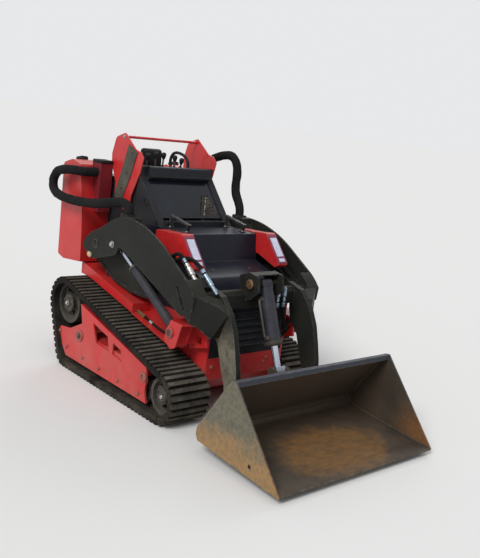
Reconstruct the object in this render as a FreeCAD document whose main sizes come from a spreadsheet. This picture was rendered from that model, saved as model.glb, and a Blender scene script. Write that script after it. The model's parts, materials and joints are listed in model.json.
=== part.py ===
import FreeCAD, Part
import math
import os
import Sketcher
from FreeCAD import Placement, Rotation, Vector

# Stand-on tracked loader, millimetres.
# X forward, Y to the left, Z up. The ground is Z = 0 and the middle of the
# outer box is X = 0. Side views are drawn in the X-Z plane, seen from the
# right-hand side, with x counted forward from the datum over the rear drive
# hub. The left side is a mirror image of the right.

SIZES = (
    ("datum_x", -695.5, "the datum of the side views, along the machine"),
    ("seat", 0.3, "clearance of parts that sit on each other"),
    ("fit", 0.05, "radial running clearance of a pin"),
    ("run_gap", 5.0, "clearance of parts that pass each other"),
    ("plate", 10.0, "frame plate thickness"),
    ("sheet", 6.0, "cover sheet thickness"),
    ("hull_width", 530.0, "central frame across its side plates"),
    ("track_clear", 12.0, "hull side to the track"),
    ("track_width", 240.0, "rubber track across"),
    ("lug_height", 18.0, "tread bar above the belt"),
    ("belt_thick", 20.0, "rubber belt between the bars"),
    ("lug_pitch", 34.0, "one tread bar to the next"),
    ("drive_back", 10.0, "drive hub behind the datum"),
    ("drive_z", 367.0, "drive hub above the ground"),
    ("drive_radius", 117.0, "belt inside, round the drive wheel"),
    ("drive_case", 55.0, "drive case beside the wheel, over its corners"),
    ("idler_x", 955.0, "front idler hub forward of the datum"),
    ("idler_radius", 98.0, "belt inside, round the front idler"),
    ("roller_x", 32.0, "rear road wheel forward of the datum"),
    ("roller_radius", 66.0, "belt inside, round a road wheel"),
    ("roller_width", 120.0, "road wheels across"),
    ("roller_gap", 21.0, "front road wheel behind the idler, belt inside to belt inside"),
    ("axle_radius", 18.0, "road wheel and idler axles"),
    ("wheel_inset", 40.0, "wheel face inside the belt edge"),
    ("wheel_rim", 17.0, "rim of the drive wheel and the idler"),
    ("wheel_recess", 26.0, "spokes behind the wheel face"),
    ("hub_radius", 38.0, "wheel hub"),
    ("frame_inset", 22.0, "middle of a track frame plate inside the belt edge"),
    ("notch_gap", 24.0, "track frame plate clear of the idler"),
    ("flange", 34.0, "folded edge of the track frame"),
    ("arm_inset", 118.0, "middle of an arm beam from the track's inner edge"),
    ("arm_width", 80.0, "arm beam across"),
    ("arm_cheek", 10.0, "side plate of an arm"),
    ("leg_inset", 10.0, "middle of an arm leg outside the hull side"),
    ("leg_width", 30.0, "arm leg across"),
    ("pivot_x", 153.0, "arm pivot forward of the datum"),
    ("pivot_z", 749.0, "arm pivot above the ground"),
    ("pivot_pin", 25.0, "arm pivot pin, radius"),
    ("cross_x", 1040.0, "line of the cross member forward of the datum"),
    ("cross_z", 640.0, "line of the cross member above the ground"),
    ("cross_front", 14.0, "front face of the cross member ahead of its line"),
    ("ear_gap", 152.0, "between the ears of the cross member"),
    ("ear", 14.0, "ear thickness"),
    ("eye_pin", 14.0, "cylinder pins, radius"),
    ("lift_base_x", 905.0, "lower pin of a lift cylinder"),
    ("lift_base_z", 450.0, "lower pin of a lift cylinder"),
    ("lift_pin_x", 322.0, "rod end of a lift cylinder"),
    ("lift_pin_z", 778.0, "rod end of a lift cylinder"),
    ("lift_bore", 24.0, "lift barrel, outer radius"),
    ("lift_rod", 13.0, "lift rod, radius"),
    ("lift_barrel", 478.0, "lift barrel from its pin to its mouth"),
    ("lift_eye", 44.0, "lift cylinder eyes across"),
    ("tilt_pin_x", 1084.0, "upper pin of the tilt cylinder"),
    ("tilt_pin_z", 722.0, "upper pin of the tilt cylinder"),
    ("tilt_end_x", 1262.0, "lower pin of the tilt cylinder"),
    ("tilt_end_z", 305.0, "lower pin of the tilt cylinder"),
    ("tilt_bore", 40.0, "tilt barrel, outer radius"),
    ("tilt_rod", 19.0, "tilt rod, radius"),
    ("tilt_barrel", 315.0, "tilt barrel from its pin to its mouth"),
    ("tilt_eye", 64.0, "tilt cylinder eyes across"),
    ("eye_wall", 11.0, "cylinder eye round its pin"),
    ("rod_inside", 235.0, "rod inside its barrel at rest"),
    ("hinge_x", 1245.0, "tool hinge forward of the datum"),
    ("hinge_z", 165.0, "tool hinge above the ground"),
    ("hinge_pin", 16.0, "tool hinge pin, radius"),
    ("hitch_x", 1306.0, "tool plate, rear face, forward of the datum"),
    ("hitch_thick", 14.0, "tool plate thickness"),
    ("hitch_bottom", 148.0, "lower edge of the tool plate"),
    ("hitch_top", 300.0, "upper edge of the tool plate"),
    ("bucket_width", 1066.0, "bucket across its side plates"),
    ("bucket_sheet", 8.0, "bucket sheet thickness"),
    ("hood_inset", 10.0, "hood side inside the hull side"),
    ("hood_top", 905.0, "hood deck above the ground"),
    ("pod_width", 70.0, "lamp pod across"),
    ("post", 42.0, "screen post across"),
    ("console_top", 1170.0, "console above the ground"),
    ("tank_width", 175.0, "rear tank across"),
    ("step_x", -220.0, "platform hinge forward of the datum"),
    ("step_z", 165.0, "platform hinge above the ground"),
    ("step_pin", 10.0, "platform hinge stub, radius"),
    ("step_width", 500.0, "platform across"),
    ("sleeve", 26.0, "hose sleeve, radius"),
)

doc = FreeCAD.newDocument("Loader")
sheet = doc.addObject("Spreadsheet::Sheet", "Sizes")
size = {}
for row, (name, value, note) in enumerate(SIZES, start=1):
    sheet.set("A%d" % row, name)
    sheet.set("B%d" % row, "%g" % value)
    sheet.set("C%d" % row, note)
    sheet.setAlias("B%d" % row, name)
    size[name] = value
doc.recompute()

# Distances from the centre plane that follow from those sizes.
HULL_SIDE = size["hull_width"] / 2
HOOD_FOOT = size["hood_top"] + size["seat"]
TRACK_INNER = HULL_SIDE + size["track_clear"]
TRACK_OUTER = TRACK_INNER + size["track_width"]
TRACK_MIDDLE = TRACK_INNER + size["track_width"] / 2
ARM_MIDDLE = TRACK_INNER + size["arm_inset"]
ARM_INNER = ARM_MIDDLE - size["arm_width"] / 2
ARM_OUTER = ARM_MIDDLE + size["arm_width"] / 2
LEG_MIDDLE = HULL_SIDE + size["leg_inset"]
LEG_INNER = LEG_MIDDLE - size["leg_width"] / 2
LEG_OUTER = LEG_MIDDLE + size["leg_width"] / 2
HOOD_SIDE = HULL_SIDE - size["hood_inset"]
FRAME_OUTER = TRACK_OUTER - size["frame_inset"]
FRAME_INNER = TRACK_INNER + size["frame_inset"]
CONSOLE_SIDE = HOOD_SIDE - size["plate"] + 1
GUARD_SIDE = HOOD_SIDE + size["seat"]
BUCKET_SIDE = size["bucket_width"] / 2

sub_parts = {}


def place(x, z, y=0.0):
    """A point given forward of the datum and above the ground."""
    return Vector(size["datum_x"] + x, y, z)


def keep(label, *items):
    """Count objects as solids of the named sub-part."""
    sub_parts.setdefault(label, []).extend(items)


def bind(item, field, amount):
    """Set a length from a number, or bind it to a formula of sheet cells."""
    if isinstance(amount, str):
        item.setExpression(field, amount)
    else:
        setattr(item, field, amount)


def origin_plane(body, role):
    for feature in body.Origin.OriginFeatures:
        if feature.Role == role:
            return feature
    raise ValueError(role)


def rounded_edges(points):
    """Lines and corner arcs of a closed outline of (x, z) or (x, z, radius)."""
    corners = []
    count = len(points)
    for index in range(count):
        here = Vector(points[index][0], points[index][1], 0)
        radius = points[index][2] if len(points[index]) > 2 else 0.0
        before = Vector(points[index - 1][0], points[index - 1][1], 0)
        after = Vector(points[(index + 1) % count][0], points[(index + 1) % count][1], 0)
        to_before = (before - here).normalize()
        to_after = (after - here).normalize()
        half = to_before.getAngle(to_after) / 2
        if radius == 0.0 or abs(half - math.pi / 2) < 0.01:
            corners.append((here, None, here))
            continue
        reach = radius / math.tan(half)
        centre = here + (to_before + to_after).normalize() * (radius / math.sin(half))
        middle = centre + (here - centre).normalize() * radius
        corners.append((here + to_before * reach, middle, here + to_after * reach))
    edges = []
    for index in range(count):
        start, middle, end = corners[index]
        if middle is not None:
            edges.append(Part.Arc(start, middle, end))
        edges.append(Part.LineSegment(end, corners[(index + 1) % count][0]))
    return edges


def around(centre, *offsets):
    """Outline points given from a driving point as (x, z) or (x, z, radius)."""
    return [(centre[0] + offset[0], centre[1] + offset[1]) + tuple(offset[2:]) for offset in offsets]


def draw(body, name, points, circles=()):
    """A closed outline and round holes on the body's X-Z plane."""
    sketch = body.newObject("Sketcher::SketchObject", name)
    sketch.AttachmentSupport = [(origin_plane(body, "XZ_Plane"), "")]
    sketch.MapMode = "FlatFace"
    for edge in rounded_edges(points) if points else ():
        sketch.addGeometry(edge, False)
    for x, z, radius in circles:
        sketch.addGeometry(Part.Circle(Vector(x, z, 0), Vector(0, 0, 1), radius), False)
    return sketch


def plate(name, points, thickness, middle=0.0, holes=(), cuts=()):
    """A side-view outline padded to both sides of its middle plane.

    cuts are (outline, width) pockets through the middle plane.
    """
    body = doc.addObject("PartDesign::Body", name)
    pad = body.newObject("PartDesign::Pad", name + "_pad")
    pad.Profile = draw(body, name + "_outline", points, holes)
    pad.SideType = "Symmetric"
    bind(pad, "Length", thickness)
    for number, (outline, width) in enumerate(cuts, start=1):
        pocket = body.newObject("PartDesign::Pocket", "%s_cut_%d" % (name, number))
        pocket.Profile = draw(body, "%s_cut_outline_%d" % (name, number), outline)
        pocket.SideType = "Symmetric"
        bind(pocket, "Length", width)
    body.Placement = Placement(Vector(size["datum_x"], middle, 0), Rotation())
    return body


def strip(name, path, thickness, width, middle=0.0, **more):
    """A folded sheet: a side-view path given a thickness to its left."""
    near = [Vector(point[0], point[1], 0) for point in path]
    normals = []
    for start, end in zip(near, near[1:]):
        run = (end - start).normalize()
        normals.append(Vector(-run.y, run.x, 0))
    far = []
    for index, point in enumerate(near):
        before = normals[max(index - 1, 0)]
        after = normals[min(index, len(normals) - 1)]
        bisector = (before + after).normalize()
        far.append(point + bisector * (thickness / bisector.dot(before)))
    outline = [(point.x, point.y) for point in near + far[::-1]]
    return plate(name, outline, width, middle, **more)


def box(name, x, y, z, length, width, height):
    """A block from its low corner."""
    item = doc.addObject("Part::Box", name)
    bind(item, "Length", length)
    bind(item, "Width", width)
    bind(item, "Height", height)
    item.Placement = Placement(place(x, z, y), Rotation())
    return item


def rod_across(name, x, z, radius, low, high):
    """A round bar along Y from low to high."""
    item = doc.addObject("Part::Cylinder", name)
    bind(item, "Radius", radius)
    item.Height = high - low
    item.Placement = Placement(place(x, z, low), Rotation(Vector(1, 0, 0), -90))
    return item


def prism_bar(name, start, end, radius, sides=6):
    """A six- or eight-sided bar from one point to another."""
    run = end - start
    item = doc.addObject("Part::Prism", name)
    item.Polygon = sides
    bind(item, "Circumradius", radius)
    item.Height = run.Length
    item.Placement = Placement(start, Rotation(Vector(0, 0, 1), run))
    return item


def bar_between(name, start, end, radius):
    """A round bar from one point to another."""
    run = end - start
    item = doc.addObject("Part::Cylinder", name)
    bind(item, "Radius", radius)
    item.Height = run.Length
    item.Placement = Placement(start, Rotation(Vector(0, 0, 1), run))
    return item


def mirrored(item):
    twin = doc.addObject("Part::Mirroring", item.Name + "_left")
    twin.Source = item
    twin.Normal = Vector(0, 1, 0)
    return twin


def pair(label, item):
    keep(label, item, mirrored(item))


def fuse(name, items):
    item = doc.addObject("Part::MultiFuse", name)
    item.Shapes = items
    item.Refine = True
    return item


def cut(name, base, tools):
    item = doc.addObject("Part::Cut", name)
    item.Base = base
    item.Tool = tools[0] if len(tools) == 1 else fuse(name + "_tools", tools)
    return item


def common(name, items):
    item = doc.addObject("Part::MultiCommon", name)
    item.Shapes = items
    return item


def solid(name, shape):
    item = doc.addObject("Part::Feature", name)
    item.Shape = shape
    return item


# The rubber tracks. The belt runs round three corners, seen from the right.
TREAD = size["belt_thick"] + size["lug_height"]
DRIVE = (-size["drive_back"], size["drive_z"])
IDLER = (size["idler_x"], size["idler_radius"] + TREAD)
ROLLER = (size["roller_x"], size["roller_radius"] + TREAD)
CORNERS = (
    (DRIVE, size["drive_radius"]),
    (IDLER, size["idler_radius"]),
    (ROLLER, size["roller_radius"]),
)


def straight_runs(offset):
    """Start, end and outward angle of the runs, clockwise round the corners."""
    runs = []
    for index in range(3):
        (ax, az), ar = CORNERS[index]
        (bx, bz), br = CORNERS[(index + 1) % 3]
        heading = math.atan2(bz - az, bx - ax)
        lean = math.asin((ar - br) / math.hypot(bx - ax, bz - az))
        side = heading + math.pi / 2 - lean
        out_x = math.cos(side)
        out_z = math.sin(side)
        start = (ax + (ar + offset) * out_x, az + (ar + offset) * out_z)
        end = (bx + (br + offset) * out_x, bz + (br + offset) * out_z)
        runs.append((start, end, side))
    return runs


def belt_pieces():
    """The belt line as (length, function of distance and height) pieces."""
    base = size["belt_thick"]
    runs = straight_runs(base)
    pieces = []
    for index in range(3):
        start, end, side = runs[index]
        length = math.hypot(end[0] - start[0], end[1] - start[1])

        def on_run(distance, height, start=start, end=end, side=side, length=length):
            share = distance / length
            x = start[0] + share * (end[0] - start[0]) + height * math.cos(side)
            z = start[1] + share * (end[1] - start[1]) + height * math.sin(side)
            return Vector(x, 0, z)

        (cx, cz), radius = CORNERS[(index + 1) % 3]
        turn = (side - runs[(index + 1) % 3][2]) % (2 * math.pi)
        reach = radius + base

        def on_corner(distance, height, cx=cx, cz=cz, side=side, reach=reach):
            angle = side - distance / reach
            x = cx + (reach + height) * math.cos(angle)
            z = cz + (reach + height) * math.sin(angle)
            return Vector(x, 0, z)

        pieces.append((length, on_run))
        pieces.append((turn * reach, on_corner))
    return pieces


def belt_inside():
    """The smooth inner face of the belt as a wire."""
    runs = straight_runs(0.0)
    edges = []
    for index in range(3):
        start, end, side = runs[index]
        next_start, _, next_side = runs[(index + 1) % 3]
        (cx, cz), radius = CORNERS[(index + 1) % 3]
        middle = side - ((side - next_side) % (2 * math.pi)) / 2
        through = Vector(cx + radius * math.cos(middle), 0, cz + radius * math.sin(middle))
        corner = Part.Arc(Vector(end[0], 0, end[1]), through, Vector(next_start[0], 0, next_start[1]))
        edges.append(Part.makeLine(Vector(start[0], 0, start[1]), Vector(end[0], 0, end[1])))
        edges.append(corner.toShape())
    return Part.Wire(edges)


# One tread bar as (share of the pitch, share of the bar's height).
LUG = ((0.0, 0.0), (0.24, 1.0), (0.76, 1.0))


def track_shape():
    pieces = belt_pieces()
    total = sum(length for length, point_at in pieces)
    count = int(total / size["lug_pitch"])
    pitch = total / count
    points = []
    for index in range(count):
        for share, rise in LUG:
            distance = (index + share) * pitch
            for length, point_at in pieces:
                if distance <= length:
                    break
                distance -= length
            points.append(point_at(distance, rise * size["lug_height"]))
    face = Part.Face([Part.makePolygon(points + [points[0]]), belt_inside()])
    face.validate()
    return face.extrude(Vector(0, size["track_width"], 0))


loop = track_shape()
for label, near in (("track_right", -TRACK_OUTER), ("track_left", TRACK_INNER)):
    track = solid(label + "_loop", loop)
    track.Placement = Placement(Vector(size["datum_x"], near, 0), Rotation())
    keep(label, track)


def across(middle, width):
    """Low and high Y of something centred on the right-hand side."""
    return -middle - width / 2, -middle + width / 2


WHEEL_WIDTH = size["track_width"] - 2 * size["wheel_inset"]


def wheel(name, centre, radius, windows):
    """A drum with a sunk face, a hub, and windows right through it.

    windows are outlines of (turn in degrees, share of the way to the rim).
    """
    x, z = centre
    low, high = across(TRACK_MIDDLE, WHEEL_WIDTH)
    inside = radius - size["wheel_rim"]
    drum = rod_across(name + "_drum", x, z, radius - size["seat"], low, high)
    holes = [rod_across(name + "_sunk", x, z, inside, low - 1, low + size["wheel_recess"])]
    for number, outline in enumerate(windows, start=1):
        corners = [(x + share * inside * math.cos(math.radians(turn)),
                    z + share * inside * math.sin(math.radians(turn))) for turn, share in outline]
        holes.append(plate("%s_window_%d" % (name, number), corners, 1.2 * WHEEL_WIDTH, -TRACK_MIDDLE))
    hub = prism_bar(name + "_hub", place(x, z, low), place(x, z, low + size["wheel_recess"] + 1),
                    "Sizes.hub_radius", 8)
    return fuse(name, [cut(name + "_dished", drum, holes), hub])


# The drive wheel's arms run in pairs to one point of the rim, the idler's
# five are plain.
DRIVE_WINDOWS = []
for turn in (41, 161, 281):
    DRIVE_WINDOWS.append([(turn - 27, 0.5), (turn, 0.84), (turn + 27, 0.5)])
    DRIVE_WINDOWS.append([(turn + 16, 0.95), (turn + 38, 0.96), (turn + 60, 0.96), (turn + 82, 0.96),
                          (turn + 104, 0.95), (turn + 76, 0.52), (turn + 44, 0.52)])
IDLER_WINDOWS = [[(turn - 24, 0.92), (turn - 8, 0.96), (turn + 8, 0.96), (turn + 24, 0.92), (turn + 14, 0.58),
                  (turn - 14, 0.58)] for turn in range(54, 414, 72)]
pair("drive_wheels", wheel("drive_wheel", DRIVE, size["drive_radius"], DRIVE_WINDOWS))
pair("front_idlers", wheel("front_idler", IDLER, size["idler_radius"], IDLER_WINDOWS))

# Four road wheels a side, each on an axle held between the frame plates.
roller_count = 4
last_roller = IDLER[0] - size["idler_radius"] - size["roller_gap"] - size["roller_radius"]
roller_pitch = (last_roller - ROLLER[0]) / (roller_count - 1)
ROLLERS = [(ROLLER[0] + index * roller_pitch, ROLLER[1]) for index in range(roller_count)]
frame_gap = FRAME_OUTER - FRAME_INNER - size["plate"] - 2 * size["seat"]
for number, (x, z) in enumerate(ROLLERS, start=1):
    low, high = across(TRACK_MIDDLE, size["roller_width"])
    tyre = rod_across("road_wheel_%d" % number, x, z, "Sizes.roller_radius - Sizes.seat", low, high)
    axle = plate("road_axle_%d" % number, [
        (x + size["axle_radius"] * math.cos(math.radians(60 * corner)),
         z + size["axle_radius"] * math.sin(math.radians(60 * corner))) for corner in range(6)
    ], frame_gap, -TRACK_MIDDLE)
    pair("road_wheels", fuse("road_wheel_set_%d" % number, [tyre, axle]))

# The track frame: an outer plate cut clear of the wheels, an inner plate that
# reaches the idler, and a beam between them.
OUTER_PLATE = (
    (-57, 205), (-44, 223), (60, 236), (186, 300), (159, 405), (828, 250), (842, 180), (842, 90), (852, 66),
    (30, 66), (-20, 120),
)
INNER_PLATE = (
    (-57, 205), (60, 236), (186, 300), (159, 385), (828, 240),
    (985, 160), (985, 108), (852, 66), (30, 66), (-20, 120),
)
WINDOWS = (
    ((299, 335), (455, 303), (481, 224), (346, 234)),
    ((513, 284), (590, 266), (604, 206), (512, 220)),
)
notch = rod_across("idler_notch", IDLER[0], IDLER[1], size["idler_radius"] + size["notch_gap"],
                   -FRAME_OUTER - size["plate"], -FRAME_OUTER + size["plate"])
outer_plate = cut("track_frame_outer", plate(
    "track_frame_outer_plate", OUTER_PLATE, "Sizes.plate", -FRAME_OUTER,
    cuts=[(window, "2 * Sizes.plate") for window in WINDOWS]), [notch])
inner_plate = plate("track_frame_inner", INNER_PLATE, "Sizes.plate", -FRAME_INNER)
fold = strip("track_frame_fold", ((828, 250), (159, 405)), size["sheet"], "Sizes.flange",
             -FRAME_OUTER + size["flange"] / 2 - size["plate"] / 2)
beam = box("track_frame_beam", 200, -FRAME_OUTER + 4, 190, 590, FRAME_OUTER - FRAME_INNER - 8, 50)
low, high = across(TRACK_MIDDLE, WHEEL_WIDTH)
idler_axle = prism_bar("idler_axle", place(IDLER[0], IDLER[1], high + size["seat"]),
                       place(IDLER[0], IDLER[1], -FRAME_INNER), "Sizes.axle_radius")
right_frame = fuse("track_frame", [outer_plate, inner_plate, fold, beam, idler_axle])
keep("track_frame_right", right_frame)
keep("track_frame_left", mirrored(right_frame))

# The central frame: an open-topped box, with ties to the track frames, the
# drive cases, rails under the engine and the stubs that carry the platform.
HULL = (
    (-150, 130), (-190, 300), (-190, 588), (-80, 600), (430, 600), (560, 500), (927, 500),
    (927, 600, 20), (960, 630),
    (996, 630), (1010, 600), (1010, 209), (930, 130),
)
HULL_INSIDE = ((-140, 140), (-180, 300), (-180, 640), (1000, 640), (1000, 213), (926, 140))
FRONT_DOOR = (1010, 322, 620)
hull = cut("hull", plate("hull_block", HULL, "Sizes.hull_width"), [
    plate("hull_inside", HULL_INSIDE, "Sizes.hull_width - 2 * Sizes.plate"),
    box("hull_mouth", FRONT_DOOR[0] - 60, -HULL_SIDE + size["plate"], FRONT_DOOR[1], 100,
        "Sizes.hull_width - 2 * Sizes.plate", 700 - FRONT_DOOR[1]),
])
TIES = (("rear", 230), ("front", 690))
ties = [box("frame_tie_" + end, x, -FRAME_INNER + size["plate"] / 2 + size["seat"], 196,
            80, FRAME_INNER - HULL_SIDE - size["seat"], 30) for end, x in TIES]
drive_case = prism_bar("drive_case", place(DRIVE[0], DRIVE[1], high + size["seat"]),
                       place(DRIVE[0], DRIVE[1], -HULL_SIDE + size["plate"] / 2), "Sizes.drive_case", 8)
RAILS = (("rear", 450), ("front", 740))
rails = [
    box("engine_rail_" + end, x, -HULL_SIDE + 5, 270, 30, "Sizes.hull_width - 10", 30) for end, x in RAILS]
STEP_LUG = ((-140, 134), (-228, 148), (-238, 165), (-228, 182), (-178, 232))
step_ear_inset = 36
step_side = size["step_width"] / 2 - step_ear_inset
step_lug = plate("step_lug", STEP_LUG, 14, -step_side + 21)
step_stub = rod_across("step_stub", size["step_x"], size["step_z"], "Sizes.step_pin",
                       -step_side - 10, -step_side + 20)
right_side = ties + [drive_case, step_lug, step_stub]
left_side = [mirrored(item) for item in right_side]
keep("main_frame", fuse("main_frame_weldment", [hull] + rails + right_side + left_side))

# The louvred door at the front of the engine bay.
LOUVRES = 6
LOUVRE_TOP = 610
door = plate("front_door", (
    (994, FRONT_DOOR[1] + size["seat"]), (1006, FRONT_DOOR[1] + size["seat"]), (1006, 625, 12), (962, 637),
    (927, 640), (927, 628), (960, 625), (994, 616),
), "Sizes.hull_width - 2 * Sizes.plate - 2 * Sizes.seat")
louvre_rise = (LOUVRE_TOP - FRONT_DOOR[1]) / (LOUVRES + 2)
louvres = []
for number in range(LOUVRES):
    z = FRONT_DOOR[1] + (number + 1.4) * louvre_rise
    louvre = ((1005, z), (1018, z), (1005, z + 16))
    louvres.append(plate("louvre_%d" % (number + 1), louvre, "0.72 * Sizes.hull_width"))
keep("front_door", fuse("front_door_pressing", [door] + louvres))

# Folded shelves over the tracks, from the rear tanks to the lift brackets.
SHELF_DEPTH = 120.0
shelf_middle = -(HULL_SIDE + size["seat"] + SHELF_DEPTH / 2)
shelf_top = strip("shelf_top", ((872, 358), (494, 437), (494, 487), (-60, 602)), size["sheet"], SHELF_DEPTH,
                  shelf_middle)
shelf_lip = plate("shelf_lip", ((-58, 600), (493, 486), (493, 436), (40, 527), (-58, 532)), "Sizes.sheet",
                  shelf_middle - SHELF_DEPTH / 2 + size["sheet"] / 2)
pair("track_shelves", fuse("track_shelf", [shelf_top, shelf_lip]))

# Brackets over the tracks that carry the lift cylinders.
LIFT_PIN = (size["lift_base_x"], size["lift_base_z"])
BRACKET = around(LIFT_PIN, (-45, -45), (-31, 9), (0, 65), (88, 63), (68, -10), (50, -64), (13, -83, 12))
BRACKET_BOX = around(LIFT_PIN, (-12, 24), (0, 64), (128, 64), (148, -49), (8, -92))
BRACKET_WINDOW = around(LIFT_PIN, (46, -10), (99, -10), (99, -48), (46, -48))
BRACKET_BACK = around(LIFT_PIN, (45, -52), (55, -52), (55, 58), (45, 58))
bracket_side = size["lift_eye"] / 2 + size["run_gap"] + size["plate"] / 2
bracket_outer = plate("bracket_outer", BRACKET, "Sizes.plate", -(ARM_MIDDLE + bracket_side))
bracket_inner = plate("bracket_inner", BRACKET, "Sizes.plate", -(ARM_MIDDLE - bracket_side))
bracket_box = plate("bracket_box", BRACKET_BOX, "Sizes.plate", -(HULL_SIDE + 35),
                    cuts=((BRACKET_WINDOW, "2 * Sizes.plate"),))
reach = ARM_MIDDLE + bracket_side + size["plate"] / 2
bracket_root = HULL_SIDE + size["seat"]
BRACKET_PLAN = (
    # x ahead of the pin, distance from the centre plane
    (-5, reach), (88, reach), (130, bracket_root + 40), (130, bracket_root), (-5, bracket_root), (-5, reach),
)
bracket_plan = Part.makePolygon([place(LIFT_PIN[0] + x, LIFT_PIN[1] + 55, -y) for x, y in BRACKET_PLAN])
bracket_top = solid("bracket_top", Part.Face(bracket_plan).extrude(Vector(0, 0, size["plate"])))
back_width = reach - 2 - bracket_root
bracket_back = plate("bracket_back", BRACKET_BACK, back_width, -(bracket_root + back_width / 2))
bracket_pin = rod_across("bracket_pin", size["lift_base_x"], size["lift_base_z"], "Sizes.eye_pin",
                         -reach + 2, -(ARM_MIDDLE - bracket_side))
pair("lift_brackets", fuse("lift_bracket", [
    bracket_outer, bracket_inner, bracket_box, bracket_top, bracket_back, bracket_pin]))

# Stand plates with a doubled lower edge that carry the arm pivots.
STAND = (
    (21, 635), (62, 700), (95, 790, 30), (190, 810, 30), (245, 770), (330, 700), (470, 650), (604, 590, 14),
    (594, 546), (552, 531), (407, 528), (251, 547), (79, 618),
)
STAND_FOLD = ((604, 566), (552, 549), (407, 545), (251, 565), (79, 636))
stand_middle = ARM_INNER - size["run_gap"] - size["plate"] / 2
stand = plate("arm_stand_plate", STAND, "Sizes.plate", -stand_middle)
stand_fold = strip("arm_stand_fold", STAND_FOLD, size["sheet"], 24, -stand_middle + 2)
web_width = stand_middle - HULL_SIDE - size["seat"]
stand_shelf = strip("arm_stand_shelf", ((596, 566), (420, 618), (150, 618)), size["plate"], web_width,
                    -(HULL_SIDE + size["seat"] + web_width / 2))
STAND_POST = around((size["pivot_x"], size["pivot_z"]), (-5, -184), (5, -184), (5, 6), (-5, 6))
stand_post = plate("arm_stand_post", STAND_POST, web_width, -(HULL_SIDE + size["seat"] + web_width / 2))
pivot_pin = rod_across("pivot_pin", size["pivot_x"], size["pivot_z"], "Sizes.pivot_pin",
                       -(ARM_OUTER - size["arm_cheek"]), -stand_middle)
pair("arm_stands", fuse("arm_stand", [stand, stand_fold, stand_shelf, stand_post, pivot_pin]))

# Where the hoses land on top of each arm.
HOSE_FOOT = 392.0
ARM_TOP = 956.0

# Loader arms: a beam a side with an open rear fork and a tray for hoses, a
# bent elbow, a leg, and the cross member with the ears of the tilt cylinder.
CROSS = (size["cross_x"], size["cross_z"])
HINGE = (size["hinge_x"], size["hinge_z"])
BEAM = [
    (22, 716), (38, 762, 24), (110, 812), (197, 848), (300, 905), (392, 948), (640, 946, 760),
] + around(CROSS, (-14, 78, 320), (27, 29), (20, -40), (-67, -84), (-188, -33)) + [
    (437, 765), (382, 775), (360, 727), (141, 661), (46, 690, 14),
]
FORK = ((10, 640), (10, 815), (200, 838), (395, 860), (426, 800), (426, 640))
SLOT = ((918, 690), (928, 699), (936, 698), (1003, 597), (1000, 586), (988, 586))
beam_plate = plate("arm_beam_plate", BEAM, "Sizes.arm_width", -ARM_MIDDLE,
                   holes=((size["pivot_x"], size["pivot_z"], size["pivot_pin"] + size["fit"]),),
                   cuts=((FORK, "Sizes.arm_width - 2 * Sizes.arm_cheek"),))
slot = plate("arm_slot", SLOT, "2 * Sizes.arm_cheek", -ARM_OUTER)
TRAY = ((455, 1000), (470, 915), (560, 845), (820, 722), (930, 660), (985, 690), (1010, 1000))
tray_width = ARM_OUTER - size["arm_cheek"] - ARM_INNER + 10
tray = plate("arm_tray", TRAY, tray_width, -(ARM_OUTER - size["arm_cheek"] - tray_width / 2))
beam = cut("arm_beam", beam_plate, [slot, tray])
ELBOW = around(CROSS, (-40, 50), (27, 29), (93, -8), (123, -40), (77, -170), (35, -120), (-40, -74))
elbow_side = plate("arm_elbow_side", ELBOW, "2 * Sizes.arm_width", -(ARM_OUTER + LEG_OUTER) / 2)
ELBOW_PLAN = (
    # x ahead of the cross member, distance from the centre plane
    (-40, ARM_OUTER), (10, ARM_OUTER), (123, LEG_OUTER), (123, LEG_INNER), (70, LEG_INNER), (10, ARM_INNER),
    (-40, ARM_INNER), (-40, ARM_OUTER),
)
elbow_reach = 2 * max(abs(z - CROSS[1]) for x, z in ELBOW)
elbow_floor = Part.makePolygon([place(CROSS[0] + x, CROSS[1] - elbow_reach / 2, -y) for x, y in ELBOW_PLAN])
elbow_plan = solid("arm_elbow_plan", Part.Face(elbow_floor).extrude(Vector(0, 0, elbow_reach)))
elbow = common("arm_elbow", [elbow_side, elbow_plan])
LEG = around(CROSS, (-40, 60), (59, 35), (133, -41), (179, -130)) + around(
    HINGE, (2, 251), (22, 170), (39, 35), (39, -41, 38), (-39, -41, 38), (-57, 89), (-88, 147), (-135, 269),
    (-192, 328)) + around(CROSS, (-10, -80), (-20, 0))
leg = plate("arm_leg", LEG, "Sizes.leg_width", -LEG_MIDDLE,
            holes=((size["hinge_x"], size["hinge_z"], size["hinge_pin"] + size["fit"]),))
CROSS_BEAM = around(
    CROSS, (-30, 20), (-30, 40), (0, 40), (size["cross_front"], 20), (size["cross_front"], -46), (-10, -46))
cross_beam = plate("cross_beam", CROSS_BEAM, 2 * ARM_INNER + 20)
EAR = around(CROSS, (-20, -30), (-49, 110), (20, 138), (85, 130, 16), (100, 50, 16), (50, 5))
ear_middle = size["ear_gap"] / 2 + size["ear"] / 2
ear = plate("tilt_ear", EAR, "Sizes.ear", -ear_middle)
EAR_BRIDGE = around(CROSS, (64, 132.5), (20, 138), (-46, 111))
bridge = strip("ear_bridge", EAR_BRIDGE, size["sheet"], "Sizes.ear_gap + Sizes.ear")
hose_boss = box("hose_boss", HOSE_FOOT - 30, -ARM_MIDDLE - 30, ARM_TOP - 24, 60, 60, 24)
arm_side = fuse("arm_side", [beam, elbow, leg, hose_boss])
pin_reach = ear_middle + size["ear"] / 2 + size["plate"]
tilt_pin = rod_across("tilt_pin", size["tilt_pin_x"], size["tilt_pin_z"], "Sizes.eye_pin",
                      -pin_reach, pin_reach)
pin_head = prism_bar("tilt_pin_head", place(size["tilt_pin_x"], size["tilt_pin_z"], -pin_reach),
                     place(size["tilt_pin_x"], size["tilt_pin_z"], -ear_middle),
                     "Sizes.eye_pin + Sizes.eye_wall", 8)
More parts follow.
